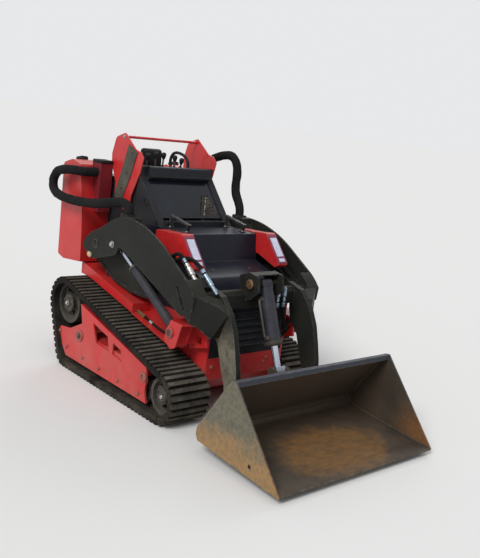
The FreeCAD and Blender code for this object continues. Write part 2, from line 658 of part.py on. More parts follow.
keep("loader_arms", fuse("arm_weldment", [
    arm_side, mirrored(arm_side), cross_beam, ear, mirrored(ear), bridge, tilt_pin, pin_head,
    mirrored(pin_head)]))

def eye_plate(name, pin, toward, hole, width):
    """A cylinder's eye: a round end on the pin, square where the tube starts."""
    wall = size["eye_pin"] + size["eye_wall"]
    run = Vector(toward.x, toward.z, 0).normalize()
    side = Vector(-run.y, run.x, 0) * wall
    middle = Vector(pin.x - size["datum_x"], pin.z, 0)
    back = middle - run * wall
    front = middle + run * (wall + 2)
    outline = [
        ((back - side).x, (back - side).y, wall * 0.98), ((front - side).x, (front - side).y),
        ((front + side).x, (front + side).y), ((back + side).x, (back + side).y, wall * 0.98),
    ]
    return plate(name, outline, width, pin.y, holes=((middle.x, middle.y, hole),))


def cylinder(name, base, tip, barrel_length, barrel_radius, rod_radius, width):
    """A barrel with its eye at base, and a rod with its eye at tip."""
    run = (tip - base).normalize()
    length = (tip - base).Length
    neck = size["eye_pin"] + size["eye_wall"]
    tube = bar_between(name + "_tube", base + run * (neck + 2), base + run * barrel_length, barrel_radius)
    bore = bar_between(name + "_bore", base + run * (neck + 12), base + run * (barrel_length + 1),
                       rod_radius + size["fit"])
    barrel_eye = eye_plate(name + "_barrel_eye", base, run, size["eye_pin"] + size["fit"], width)
    barrel = fuse(name + "_barrel", [cut(name + "_hollow", tube, [bore]), barrel_eye])
    shaft = bar_between(name + "_shaft", base + run * (barrel_length - size["rod_inside"]),
                        base + run * (length - neck - 2), rod_radius)
    rod_eye = eye_plate(name + "_rod_eye", tip, run * -1, size["eye_pin"] + size["fit"], width)
    return barrel, fuse(name + "_rod", [shaft, rod_eye])


LIFT_BASE = place(size["lift_base_x"], size["lift_base_z"], -ARM_MIDDLE)
LIFT_TIP = place(size["lift_pin_x"], size["lift_pin_z"], -ARM_MIDDLE)
barrel, rod = cylinder("lift", LIFT_BASE, LIFT_TIP, size["lift_barrel"], size["lift_bore"], size["lift_rod"],
                       "Sizes.lift_eye")
pair("lift_barrels", barrel)
pair("lift_rods", rod)
TILT_BASE = place(size["tilt_pin_x"], size["tilt_pin_z"])
TILT_TIP = place(size["tilt_end_x"], size["tilt_end_z"])
barrel, rod = cylinder("tilt", TILT_BASE, TILT_TIP, size["tilt_barrel"], size["tilt_bore"], size["tilt_rod"],
                       "Sizes.tilt_eye")
keep("tilt_barrel", barrel)
keep("tilt_rod", rod)

# Quick couplers: two along the right arm, two ahead of the cross member.
COUPLERS = (
    # x and z of the upper end, x and z of the lower end, distance inside the arm, radius
    (868, 794, 972, 712, 6.0, 17),
    (966, 760, 1080, 681, 50.0, 13),
)
coupler_bars = []
for number, (x1, z1, x2, z2, inset, radius) in enumerate(COUPLERS, start=1):
    y = -ARM_INNER + inset
    coupler_bars.append(prism_bar("coupler_%d" % number, place(x1, z1, y), place(x2, z2, y), radius))
CLAMP = around(CROSS, (-88, 60), (-41, 27), (-16, 66), (-63, 104))
clamp_width = 62.0
clamp = plate("coupler_clamp", CLAMP, clamp_width, -ARM_INNER + clamp_width / 2 + size["seat"])
keep("couplers", fuse("arm_couplers", coupler_bars + [clamp]))
FRONT_COUPLERS = (118, 164)
for number, y in enumerate(FRONT_COUPLERS, start=1):
    body = prism_bar("front_coupler_%d" % number, place(CROSS[0] + 36, CROSS[1] - 28, y),
                     place(CROSS[0] + 36, CROSS[1] + 50, y), 11)
    foot = box("front_coupler_foot_%d" % number, CROSS[0] + size["cross_front"] + size["seat"], y - 8,
               CROSS[1] - 8, 16, 16, 16)
    keep("couplers", fuse("front_coupler_set_%d" % number, [body, foot]))

# The tool plate: a face with a notch for the rod, lugs, and the hinge pin.
hitch_half = LEG_INNER - size["run_gap"] - 1
hitch_blank = box("hitch_blank", size["hitch_x"], -hitch_half, size["hitch_bottom"], "Sizes.hitch_thick",
                  2 * hitch_half, "Sizes.hitch_top - Sizes.hitch_bottom")
face = cut("hitch_face", hitch_blank, [
    box("hitch_notch", size["hitch_x"] - 5, -50, size["tilt_end_z"] - 70, 30, 100, 200)])
lug_middle = hitch_half - 6
hitch_root = size["hitch_x"] + 2
LUG_PLATE = around(HINGE, (-23, -20), (-23, 20), (-5, 40)) + [
    (hitch_root, size["hitch_top"] - 10), (hitch_root, size["hitch_bottom"] + 2)] + around(HINGE, (15, -33))
ROD_EAR = [(hitch_root, size["hitch_bottom"] + 2), (hitch_root, size["hitch_top"] - 2)] + around(
    (size["tilt_end_x"], size["tilt_end_z"]), (26, 26), (-12, 30), (-28, 12), (-22, -22), (14, -90))
ear_side = size["tilt_eye"] / 2 + size["run_gap"] + 6
hinge_reach = LEG_OUTER + 8
hinge_bar = rod_across("hinge_bar", size["hinge_x"], size["hinge_z"], "Sizes.hinge_pin",
                       -hinge_reach, hinge_reach)
lugs = [plate("hitch_lug", LUG_PLATE, 12, -lug_middle), plate("rod_ear", ROD_EAR, 12, -ear_side)]
keep("tool_plate", fuse("tool_plate_weldment", [face, hinge_bar] + lugs + [mirrored(item) for item in lugs]))

# The bucket: a folded shell between two side plates, with a hooked mount.
SIDE = ((1322, 66), (1306, 92), (1308, 126), (1505, 418), (1534, 422), (1871, 34), (1871, 26))
SHELL = (
    (1322, 66, 40), (1306, 92), (1308, 126), (1503, 416), (1535, 420), (1535, 394), (1526, 394), (1524, 410),
    (1508, 408), (1317, 126), (1316, 96), (1330, 76, 30), (1790, 36), (1871, 34), (1871, 26), (1790, 26),
)
mount_root = size["hitch_x"] + size["hitch_thick"] + size["seat"]
MOUNT_FACE = (
    (mount_root, size["hitch_bottom"]), (mount_root, size["hitch_top"]),
    (mount_root + 110, size["hitch_top"]),
    (mount_root + 106, size["hitch_top"] - 8), (mount_root + 10, size["hitch_top"] - 8),
    (mount_root + 10, size["hitch_bottom"]),
)
MOUNT_RIB = (
    (mount_root + 5, size["hitch_bottom"]), (mount_root + 5, size["hitch_top"] - 4),
    (mount_root + 106, size["hitch_top"] - 4), (mount_root + 8, size["hitch_bottom"]),
)
side_middle = BUCKET_SIDE - size["bucket_sheet"] / 2
side = plate("bucket_side", SIDE, "Sizes.bucket_sheet", -side_middle)
shell = plate("bucket_shell", SHELL, "Sizes.bucket_width - 2 * Sizes.bucket_sheet + 1")
mount_half = hitch_half - 20
mount_face = plate("bucket_mount_face", MOUNT_FACE, 2 * mount_half)
mount_rib = plate("bucket_mount_rib", MOUNT_RIB, "Sizes.plate", -(mount_half - size["plate"]))
keep("bucket", fuse("bucket_weldment", [
    side, mirrored(side), shell, mount_face, mount_rib, mirrored(mount_rib)]))

# The frame's two decks, and what stands on them a seat above.
DECK_FOOT = 600 + size["seat"]
NOSE_FOOT = 500 + size["seat"]

# The hood over the engine, with a stepped nose.
HOOD = (
    (240, DECK_FOOT), (240, size["hood_top"]), (706, size["hood_top"], 8), (716, 840, 10), (731, 760, 10),
    (892, 712, 24), (926, 640, 16), (926, NOSE_FOOT), (560.2, NOSE_FOOT), (430.2, DECK_FOOT),
)
HOOD_INSIDE = ((250, 480), (250, 895), (696, 895), (706, 840), (722, 750), (884, 704), (916, 636), (916, 480))
hood_block = plate("hood_block", HOOD, "Sizes.hull_width - 2 * Sizes.hood_inset")
hood_inside = plate("hood_inside", HOOD_INSIDE, "Sizes.hull_width - 2 * Sizes.hood_inset - 2 * Sizes.plate")
keep("hood", cut("hood_shell", hood_block, [hood_inside]))
keep("engine_block", box("engine", 400, -200, 300 + size["seat"], 420, 400, 390))

# Lamp pods beside the hood's nose, each with its lens on the sloping face.
POD_BROW = Vector(784, 921, 0)
POD_CHIN = Vector(918, 768, 0)
POD = (
    (560, 800), (560, 905), (690, 912), (POD_BROW.x, POD_BROW.y, 12), (POD_CHIN.x, POD_CHIN.y, 12),
    (884, 752),
    (740, 800),
)
pod_middle = HOOD_SIDE + size["seat"] + size["pod_width"] / 2
pair("lamp_pods", plate("lamp_pod", POD, "Sizes.pod_width", -pod_middle))
pod_face = POD_CHIN - POD_BROW
pod_normal = Vector(-pod_face.y, pod_face.x, 0).normalize()
lens_corners = [POD_BROW + pod_face * share + pod_normal * rise for share, rise in (
    (0.16, size["seat"]), (0.74, size["seat"]), (0.74, size["sheet"]), (0.16, size["sheet"]))]
pair("lamp_lenses", plate("lamp_lens", [(corner.x, corner.y) for corner in lens_corners],
                          "0.64 * Sizes.pod_width", -pod_middle))

# The sloping screen ahead of the console: posts, bars and a cut-out panel.
SCREEN_FOOT = (490.0, size["hood_top"] + size["seat"])
SCREEN_HEAD = (268.0, 1150.0)
POST = ((444, SCREEN_FOOT[1]), SCREEN_FOOT, SCREEN_HEAD, (268, 1206, 10), (246, 1206), (246, 1150))
post_middle = HOOD_SIDE - size["post"] / 2
post_plate = plate("screen_post", POST, "Sizes.post", -post_middle)
SCREEN_TOP = ((246, 1140), (282, 1134), (304, 1150), (300, 1206, 12), (246, 1206))
bars_width = 2 * HOOD_SIDE - 2 * size["post"] + 2
screen_top = plate("screen_top", SCREEN_TOP, bars_width)
screen_sill = strip("screen_sill", ((500, SCREEN_FOOT[1]), (452, SCREEN_FOOT[1])), -28, bars_width)
SCREEN_SIDE = ((242, SCREEN_FOOT[1]), (470, SCREEN_FOOT[1]), (262, 1150), (242, 1150))
screen_side = plate("screen_side", SCREEN_SIDE, "Sizes.sheet", -(HOOD_SIDE - size["sheet"]))
keep("screen_frame", fuse("screen_weldment", [
    post_plate, mirrored(post_plate), screen_side, mirrored(screen_side), screen_top, screen_sill]))
slope = math.atan2(SCREEN_HEAD[1] - SCREEN_FOOT[1], SCREEN_HEAD[0] - SCREEN_FOOT[0])
panel_half = HOOD_SIDE - size["post"] - size["seat"]
PANEL = (
    # y and height up the slope, going round
    (-panel_half, 48), (panel_half, 48), (panel_half, 300), (-panel_half, 300),
)
OPENING = [(share * panel_half, rise) for share, rise in ((0.28, 70), (0.96, 70), (0.87, 200), (0.6, 200))]
panel_turn = Rotation(Vector(0, 1, 0), -math.degrees(slope))
panel_plane = Placement(place(SCREEN_FOOT[0] - 18, SCREEN_FOOT[1]), panel_turn)


def panel_face(points):
    corners = [panel_plane.multVec(Vector(rise, y, 0)) for y, rise in points]
    return Part.Face(Part.makePolygon(corners + [corners[0]]))


panel_normal = panel_plane.Rotation.multVec(Vector(0, 0, -size["sheet"]))
panel = panel_face(PANEL).cut(panel_face(OPENING))
keep("screen_panel", solid("screen_glazing", panel.Faces[0].extrude(panel_normal)))
HANDLE = ((655, HOOD_FOOT), (676, 948), (506, 976), (506, HOOD_FOOT))
handle_inset = 60
handle = strip("hood_handle", HANDLE, 9, 22, -HOOD_SIDE + handle_inset)
pair("hood_handles", handle)

# Console behind the screen, and the levers and guard rail on its top.
console_back = 40
console_front = 240 - size["seat"]
CONSOLE = (
    (console_back, DECK_FOOT), (console_back, 1120, 30), (90, size["console_top"], 20),
    (225, size["console_top"], 12), (console_front, 1120), (console_front, DECK_FOOT),
)
keep("console", plate("console_body", CONSOLE, 2 * CONSOLE_SIDE))
LEVERS = (
    # x, y, length, lean forward
    (130, -130, 95, 12), (150, -80, 105, -4), (150, -30, 105, 6), (170, 40, 95, 0), (150, 100, 80, 8),
)
for number, (x, y, length, lean) in enumerate(LEVERS, start=1):
    start = place(x, size["console_top"] + size["seat"], y)
    grip_foot = start + Vector(0, 0, 0.45 * length)
    grip = prism_bar("lever_grip_%d" % number, grip_foot, start + Vector(lean, 0, length), 14)
    stalk = prism_bar("lever_%d" % number, start, start + Vector(0, 0, 0.5 * length), 6)
    keep("levers", fuse("lever_set_%d" % number, [stalk, grip]))

# Red guards beside the console, tied by a bar between their tips.
GUARD = (
    (91, 1368, 12), (3, 1338, 40), (-30, 1240), (-24, 1180), (29, 1086), (30, 997), (105, 950), (190, 920),
    (199, 1024), (266, 1161), (289, 1248), (259, 1277), (207, 1288),
)
GUARD_STRIP = (
    (201, 1284), (233, 1272), (180, 1150), (141, 1058), (104, 968), (34, 1000), (82, 1093), (150, 1190),
)
guard_middle = GUARD_SIDE + size["sheet"] / 2
guard = plate("guard_plate", GUARD, "Sizes.sheet", -guard_middle)
guard_bar = prism_bar("guard_bar", place(88, 1346, -guard_middle), place(88, 1346, guard_middle), 8, 8)
keep("guards", fuse("guard_weldment", [guard, mirrored(guard), guard_bar]))
strip_plate = plate("guard_strip", GUARD_STRIP, 5, -guard_middle - size["sheet"] / 2 - 2.5 - size["seat"])
pair("guard_strips", strip_plate)

# Rear tanks that lean back, the rear body between them and the thigh pad.
TANK = (
    (-286, 603, 14), (-221, 586), (-25, 606), (-31, 760), (-53, 955), (-100, 1160, 24), (-190, 1180, 30),
    (-290, 1150, 30),
)
SIDE_BOX = ((-8, 900), (-8, 1190, 10), (-98, 1190), (-99.5, 1160), (-52.5, 955), (-43, 900))
tank_inner = CONSOLE_SIDE + size["seat"]
tank = plate("rear_tank", TANK, "Sizes.tank_width", -(tank_inner + size["tank_width"] / 2))
keep("fuel_tank", tank)
keep("oil_tank", mirrored(tank))
box_near = GUARD_SIDE + size["sheet"] + size["seat"]
SIDE_BOX_SHARE = 0.46
box_width = SIDE_BOX_SHARE * size["tank_width"]
keep("side_box", plate("side_box_shell", SIDE_BOX, box_width, -(box_near + box_width / 2)))
rear_body_front = console_back - size["seat"]
REAR_BODY = (
    (-190, DECK_FOOT), (-215, 700, 20), (-215, 1060, 40), (-150, 1110, 30), (rear_body_front, 1110),
    (rear_body_front, DECK_FOOT),
)
keep("rear_body", plate("rear_body_shell", REAR_BODY, 2 * CONSOLE_SIDE))
PAD = ((-215.3, 780), (-215.3, 1020), (-262, 1010, 24), (-270, 800, 24))
keep("thigh_pad", plate("thigh_pad_cushion", PAD, 400))

# The platform the operator stands on, hinged at the back of the frame.
STEP_EAR = ((-262, 150), (-212, 150), (-203, 159), (-203, 171), (-212, 180), (-262, 180))
step_ear = plate("step_ear", STEP_EAR, 14, -step_side,
                 holes=((size["step_x"], size["step_z"], size["step_pin"] + size["fit"]),))
DECK = ((-480, 150), (-480, 186), (-474, 186), (-470, 164), (-242, 164), (-242, 150))
deck = plate("step_deck", DECK, "Sizes.step_width")
keep("platform", fuse("step_weldment", [deck, step_ear, mirrored(step_ear)]))


def sleeve_shape(points, radius):
    """An eight-sided tube along a route, mitred at each of its points."""
    run = (points[1] - points[0]).normalize()
    frame = Placement(points[0], Rotation(Vector(0, 0, 1), run))
    angles = [math.radians(45 * corner + 22.5) for corner in range(8)]
    ring = [frame.multVec(Vector(radius * math.cos(angle), radius * math.sin(angle), 0)) for angle in angles]
    rings = [ring]
    for index in range(1, len(points)):
        here = points[index]
        run = (here - points[index - 1]).normalize()
        ahead = (points[index + 1] - here).normalize() if index + 1 < len(points) else run
        normal = (run + ahead).normalize()
        ring = [corner + run * ((here - corner).dot(normal) / run.dot(normal)) for corner in ring]
        rings.append(ring)
    faces = [Part.Face(Part.makePolygon(end + [end[0]])) for end in (rings[0], rings[-1])]
    for near, far in zip(rings, rings[1:]):
        for corner in range(8):
            after = (corner + 1) % 8
            loop = [near[corner], near[after], far[after], far[corner], near[corner]]
            faces.append(Part.Face(Part.makePolygon(loop)))
    shell = Part.Shell(faces)
    shell.sewShape()
    tube = Part.Solid(shell)
    return tube if tube.Volume > 0 else tube.reversed()


# Hose sleeves from the tanks to the arms. The last column counts 0 where the
# sleeve leaves the machine, 1 at its widest and 2 over the arm's middle.
SLEEVE_RIGHT = (
    (-48, 1124, 0), (-48, 1124, 0.32), (-56, 1125, 0.63), (-88, 1127, 0.85), (-140, 1124, 0.97),
    (-200, 1116, 1),
    (-256, 1092, 1), (-286, 1052, 1), (-284, 1008, 1), (-252, 976, 1), (-190, 962, 1.02), (-90, 958, 1.06),
    (20, 960, 1.15), (130, 970, 1.31), (230, 988, 1.51), (310, 1008, 1.74), (366, 1010, 1.92),
    (HOSE_FOOT, 988, 2), (HOSE_FOOT, ARM_TOP + size["seat"], 2),
)
SLEEVE_LEFT = (
    (76, 1200, 0), (76, 1200, 0.3), (104, 1232, 0.56), (146, 1268, 0.78), (205, 1294, 0.94), (268, 1294, 1),
    (312, 1262, 1), (330, 1210, 1), (326, 1140, 1), (334, 1080, 1.2), (366, 1034, 1.6), (HOSE_FOOT, 996, 2),
    (HOSE_FOOT, ARM_TOP + size["seat"], 2),
)
tank_side = tank_inner + size["tank_width"]
SLEEVES = (
    # label, route, side, y where it leaves, y at its widest
    ("hose_sleeve_right", SLEEVE_RIGHT, -1, box_near + box_width + size["seat"],
     tank_side + 2.4 * size["sleeve"]),
    ("hose_sleeve_left", SLEEVE_LEFT, 1, GUARD_SIDE + size["sheet"] + size["seat"], ARM_MIDDLE),
)
for label, route, hand, leaves, widest in SLEEVES:
    points = []
    for x, z, reach in route:
        if reach <= 1:
            y = leaves + reach * (widest - leaves)
        else:
            y = widest + (reach - 1) * (ARM_MIDDLE - widest)
        points.append(place(x, z, hand * y))
    keep(label, solid(label + "_tube", sleeve_shape(points, size["sleeve"])))

doc.recompute()
for item in doc.Objects:
    if "Invalid" in item.State or "Error" in item.State:
        raise RuntimeError("%s is %s" % (item.Name, item.State))

os.makedirs("parts", exist_ok=True)
finals = {}
for label, items in sub_parts.items():
    if len(items) == 1:
        final = items[0]
    else:
        final = doc.addObject("Part::Compound", label + "_set")
        final.Links = items
    final.Label = label
    finals[label] = final
doc.recompute()
for label, final in finals.items():
    shape = final.Shape
    if shape.isNull() or not shape.isValid() or not shape.Solids:
        raise RuntimeError("%s has no valid shape" % label)
for label, final in finals.items():
    final.Shape.exportStep("parts/%s.step" % label)
    bounds = final.Shape.BoundBox
    print("%-18s %2d solids %7.0f cm3  x %.0f %.0f  y %.0f %.0f  z %.0f %.0f" % (
        label, len(final.Shape.Solids), final.Shape.Volume / 1000,
        bounds.XMin, bounds.XMax, bounds.YMin, bounds.YMax, bounds.ZMin, bounds.ZMax))
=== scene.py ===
# %% [markdown]
# # A stand-on loader on rubber tracks
# The machine comes in as finished solids, one object for each piece, already
# in their places and in metres. This lesson gives each of them its finish,
# adds the small parts that a maker bolts on, and lights the result like a
# product on a pale studio floor.

import json
import math

import bpy
from mathutils import Matrix, Vector
from mathutils.bvhtree import BVHTree


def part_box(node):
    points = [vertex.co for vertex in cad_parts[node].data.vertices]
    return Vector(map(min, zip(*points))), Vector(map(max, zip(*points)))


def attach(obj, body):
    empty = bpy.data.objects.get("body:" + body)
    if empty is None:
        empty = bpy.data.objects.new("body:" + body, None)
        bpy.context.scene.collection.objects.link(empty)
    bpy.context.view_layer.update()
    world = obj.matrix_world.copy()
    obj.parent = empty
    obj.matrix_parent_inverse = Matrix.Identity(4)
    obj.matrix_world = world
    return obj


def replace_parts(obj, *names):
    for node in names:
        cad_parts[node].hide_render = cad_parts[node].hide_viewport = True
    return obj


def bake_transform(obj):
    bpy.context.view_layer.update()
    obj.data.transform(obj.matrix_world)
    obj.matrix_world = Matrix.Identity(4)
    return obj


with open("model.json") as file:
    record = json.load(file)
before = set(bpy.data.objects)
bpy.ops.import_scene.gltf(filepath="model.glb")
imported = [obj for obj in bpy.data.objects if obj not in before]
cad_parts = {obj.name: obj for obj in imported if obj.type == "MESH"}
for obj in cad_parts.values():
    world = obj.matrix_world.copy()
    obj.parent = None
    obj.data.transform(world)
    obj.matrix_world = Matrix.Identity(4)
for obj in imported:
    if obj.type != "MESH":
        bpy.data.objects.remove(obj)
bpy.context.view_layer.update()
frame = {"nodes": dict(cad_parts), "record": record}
nodes = frame["nodes"]

# %% [markdown]
# Side-view measures of the machine are easiest to read in millimetres ahead of
# the rear drive hub, so one helper turns such a place into metres of the frame.

# %% A point of the side view
DATUM = -0.6955


def spot(x, z, y=0.0):
    """Millimetres ahead of the drive hub, above the ground and to the left."""
    return Vector((DATUM + x / 1000, y / 1000, z / 1000))


print("drive hub ahead of the middle, in metres:", round(spot(0, 0).x, 4))

# %% [markdown]
# ## Camera and light
# The camera stands ahead of the machine on its right, looking down a little
# with the horizon slightly tilted, as the photographer did.

# %% Camera
CAMERA_PLACE = spot(3867.3, 1545.4, -2720.5)
YAW = math.radians(137.512)
PITCH = math.radians(-11.846)
ROLL = math.radians(6.922)
FOCAL_PIXELS = 780.76
IMAGE_WIDTH = 480

ahead = Vector((math.cos(YAW) * math.cos(PITCH), math.sin(YAW) * math.cos(PITCH), math.sin(PITCH)))
level = Vector((math.sin(YAW), -math.cos(YAW), 0.0))
upward = level.cross(ahead)
right = level * math.cos(ROLL) + upward * math.sin(ROLL)
top = upward * math.cos(ROLL) - level * math.sin(ROLL)

camera_data = bpy.data.cameras.new("camera")
camera_data.sensor_fit = "HORIZONTAL"
camera_data.sensor_width = 36.0
camera_data.lens = camera_data.sensor_width * FOCAL_PIXELS / IMAGE_WIDTH
camera_data.clip_end = 200.0
camera = bpy.data.objects.new("camera", camera_data)
bpy.context.scene.collection.objects.link(camera)
camera.matrix_world = Matrix((
    (right.x, top.x, -ahead.x, CAMERA_PLACE.x),
    (right.y, top.y, -ahead.y, CAMERA_PLACE.y),
    (right.z, top.z, -ahead.z, CAMERA_PLACE.z),
    (0.0, 0.0, 0.0, 1.0),
))
bpy.context.scene.camera = camera
bpy.context.scene.view_settings.view_transform = "Standard"

# %% [markdown]
# One broad, distant lamp on the machine's right gives the shapes their light
# and dark sides, and a weaker one behind draws the edges. Distant lamps light
# the floor evenly, so it meets the pale world behind it without a line.

# %% Lamps, world and floor


def distant_lamp(name, height, turn, strength, softness):
    """A lamp that shines from a height and a compass turn, in degrees."""
    data = bpy.data.lights.new(name, "SUN")
    data.energy = strength
    data.angle = math.radians(softness)
    lamp = bpy.data.objects.new(name, data)
    bpy.context.scene.collection.objects.link(lamp)
    up, around = math.radians(height), math.radians(turn)
    source = Vector((math.cos(up) * math.cos(around), math.cos(up) * math.sin(around), math.sin(up)))
    lamp.rotation_euler = source.to_track_quat("Z", "Y").to_euler()
    return lamp


distant_lamp("key_lamp", 42, -72, 2.1, 24)
distant_lamp("rim_lamp", 34, 128, 0.5, 30)

STUDIO_PALE = (0.80, 0.81, 0.82, 1.0)
world = bpy.data.worlds.new("studio")
bpy.context.scene.world = world
world.use_nodes = True
sky = world.node_tree
sky.nodes.clear()
soft = sky.nodes.new("ShaderNodeBackground")
soft.inputs["Color"].default_value = (0.93, 0.96, 1.0, 1.0)
soft.inputs["Strength"].default_value = 0.56
shown = sky.nodes.new("ShaderNodeBackground")
shown.inputs["Color"].default_value = STUDIO_PALE
path = sky.nodes.new("ShaderNodeLightPath")
seen = sky.nodes.new("ShaderNodeMath")
seen.operation = "MAXIMUM"
either = sky.nodes.new("ShaderNodeMath")
either.operation = "MAXIMUM"
mix = sky.nodes.new("ShaderNodeMixShader")
out = sky.nodes.new("ShaderNodeOutputWorld")
sky.links.new(path.outputs["Is Camera Ray"], seen.inputs[0])
sky.links.new(path.outputs["Is Glossy Ray"], seen.inputs[1])
sky.links.new(seen.outputs[0], either.inputs[0])
sky.links.new(path.outputs["Is Transmission Ray"], either.inputs[1])
sky.links.new(either.outputs[0], mix.inputs[0])
sky.links.new(soft.outputs[0], mix.inputs[1])
sky.links.new(shown.outputs[0], mix.inputs[2])
sky.links.new(mix.outputs[0], out.inputs[0])

FLOOR_SIZE = 160.0
bpy.ops.object.select_all(action="DESELECT")
bpy.ops.mesh.primitive_plane_add(size=FLOOR_SIZE, location=(0.0, 0.0, -0.001))
floor = bpy.context.object
floor.name = "studio_floor"
floor_finish = bpy.data.materials.new("floor_finish")
floor_finish.use_nodes = True
floor_shader = floor_finish.node_tree.nodes["Principled BSDF"]
floor_shader.inputs["Base Color"].default_value = (0.76, 0.75, 0.73, 1.0)
floor_shader.inputs["Roughness"].default_value = 1.0
floor_shader.inputs["Specular IOR Level"].default_value = 0.0
floor.data.materials.append(floor_finish)

# %% [markdown]
# ## Finishes
# Most finishes share a few effects, so each effect is a node group with named
# sockets: dust that settles on upward faces and low down, wear along edges,
# and a fine grain. Every material then sets its own amounts.

# %% Node groups


def new_group(name, inputs, outputs):
    group = bpy.data.node_groups.new(name, "ShaderNodeTree")
    for kind, label, value in inputs:
        socket = group.interface.new_socket(name=label, in_out="INPUT", socket_type="NodeSocket" + kind)
        socket.default_value = value
    for kind, label in outputs:
        group.interface.new_socket(name=label, in_out="OUTPUT", socket_type="NodeSocket" + kind)
    start = group.nodes.new("NodeGroupInput")
    end = group.nodes.new("NodeGroupOutput")
    return group, start, end


def add(tree, kind, links=(), **settings):
    """A node with its properties set and its inputs linked or filled."""
    node = tree.nodes.new("ShaderNode" + kind)
    for key, value in settings.items():
        setattr(node, key, value)
    for socket, source in links:
        if hasattr(source, "is_output"):
            tree.links.new(source, node.inputs[socket])
        else:
            node.inputs[socket].default_value = source
    return node


def noise(tree, vector, scale, detail=5.0, roughness=0.6):
    return add(tree, "TexNoise", (
        ("Vector", vector), ("Scale", scale), ("Detail", detail), ("Roughness", roughness))).outputs["Fac"]


def ramp(tree, value, low, high, floor=0.0, peak=1.0):
    """A value spread from floor at low to peak at high, and held there."""
    return add(tree, "MapRange", (
        ("Value", value), ("From Min", low), ("From Max", high), ("To Min", floor), ("To Max", peak))).outputs[0]


def reckon(tree, operation, first, second, clamp=False):
    return add(tree, "Math", ((0, first), (1, second)), operation=operation, use_clamp=clamp).outputs[0]


def build_dirt_group():
    """Where dust lies: low down, on upward faces, and in blotches."""
    group, start, end = new_group("settled_dirt", (
        ("Float", "Amount", 0.5), ("Float", "Low Height", 0.5), ("Float", "Blotch Scale", 9.0),
        ("Float", "Upward", 0.5),
    ), (("Float", "Mask"), ("Float", "Grain")))
    place = add(group, "TexCoord").outputs["Object"]
    blotch = noise(group, place, start.outputs["Blotch Scale"], 8.0, 0.66)
    fine = noise(group, place, 150.0, 4.0)
    height = add(group, "SeparateXYZ", ((0, place),)).outputs["Z"]
    low = ramp(group, height, start.outputs["Low Height"], 0.0, 0.0, 0.75)
    facing = add(group, "SeparateXYZ", ((0, add(group, "NewGeometry").outputs["Normal"]),)).outputs["Z"]
    lying = reckon(group, "MULTIPLY", ramp(group, facing, 0.35, 1.0), start.outputs["Upward"])
    total = reckon(group, "ADD", reckon(group, "ADD", low, lying), 0.16)
    spread = ramp(group, blotch, 0.36, 0.68, 0.1, 1.15)
    speckle = ramp(group, fine, 0.42, 0.66, 0.55, 1.25)
    shaped = reckon(group, "MULTIPLY", reckon(group, "MULTIPLY", total, spread), speckle)
    scaled = reckon(group, "MULTIPLY", shaped, start.outputs["Amount"], clamp=True)
    group.links.new(scaled, end.inputs["Mask"])
    group.links.new(fine, end.inputs["Grain"])
    return group


def build_wear_group():
    """Bare metal along edges, broken up, and scratches over the faces."""
    group, start, end = new_group("edge_wear", (
        ("Float", "Edge Width", 0.004), ("Float", "Amount", 0.6), ("Float", "Scratches", 0.3),
    ), (("Float", "Mask"),))
    place = add(group, "TexCoord").outputs["Object"]
    bevel = add(group, "Bevel", (("Radius", start.outputs["Edge Width"]),), samples=4)
    flat = add(group, "NewGeometry")
    turn = add(group, "VectorMath", (
        (0, bevel.outputs["Normal"]), (1, flat.outputs["Normal"])), operation="DOT_PRODUCT").outputs["Value"]
    broken = ramp(group, noise(group, place, 34.0, 6.0, 0.7), 0.44, 0.62)
    edges = reckon(group, "MULTIPLY", ramp(group, turn, 0.995, 0.86), broken)
    stretch = add(group, "Mapping", (
        ("Vector", place), ("Scale", (6.0, 60.0, 24.0)), ("Rotation", (0.3, 0.5, 0.2)))).outputs[0]
    lines = ramp(group, noise(group, stretch, 3.0, 7.0, 0.75), 0.66, 0.74)
    worn = reckon(group, "MULTIPLY", edges, start.outputs["Amount"])
    scratch = reckon(group, "MULTIPLY", lines, start.outputs["Scratches"])
    group.links.new(reckon(group, "ADD", worn, scratch, clamp=True), end.inputs["Mask"])
    return group


def build_grain_group():
    """A fine surface height for bumps, with a coarser wave under it."""
    group, start, end = new_group("surface_grain", (
        ("Float", "Fine Scale", 400.0), ("Float", "Broad Scale", 8.0), ("Float", "Broad Share", 0.4),
    ), (("Float", "Height"),))
    place = add(group, "TexCoord").outputs["Object"]
    fine = noise(group, place, start.outputs["Fine Scale"], 3.0)
    broad = noise(group, place, start.outputs["Broad Scale"], 2.0)
    both = add(group, "Mix", ((0, start.outputs["Broad Share"]), (2, fine), (3, broad)), data_type="FLOAT")
    group.links.new(both.outputs[0], end.inputs["Height"])
    return group


DIRT = build_dirt_group()
WEAR = build_wear_group()
GRAIN = build_grain_group()

# %% [markdown]
# A painted surface is built in layers, as on the real machine: paint with a
# little cloudiness, bare metal where the paint has gone, and dust on top. The
# same function makes rubber, steel and plastic with other colours and amounts.

# %% A weathered finish


def use_group(tree, group, **values):
    node = tree.nodes.new("ShaderNodeGroup")
    node.node_tree = group
    for label, value in values.items():
        node.inputs[label.replace("_", " ")].default_value = value
    return node


def mix_colour(tree, mask, below, above):
    return add(tree, "Mix", ((0, mask), (6, below), (7, above)), data_type="RGBA").outputs[2]


def mix_value(tree, mask, below, above):
    return add(tree, "Mix", ((0, mask), (2, below), (3, above)), data_type="FLOAT").outputs[0]


def colour(red, green, blue):
    return (red, green, blue, 1.0)


DUST = colour(0.34, 0.28, 0.21)
BARE_STEEL = colour(0.26, 0.25, 0.23)


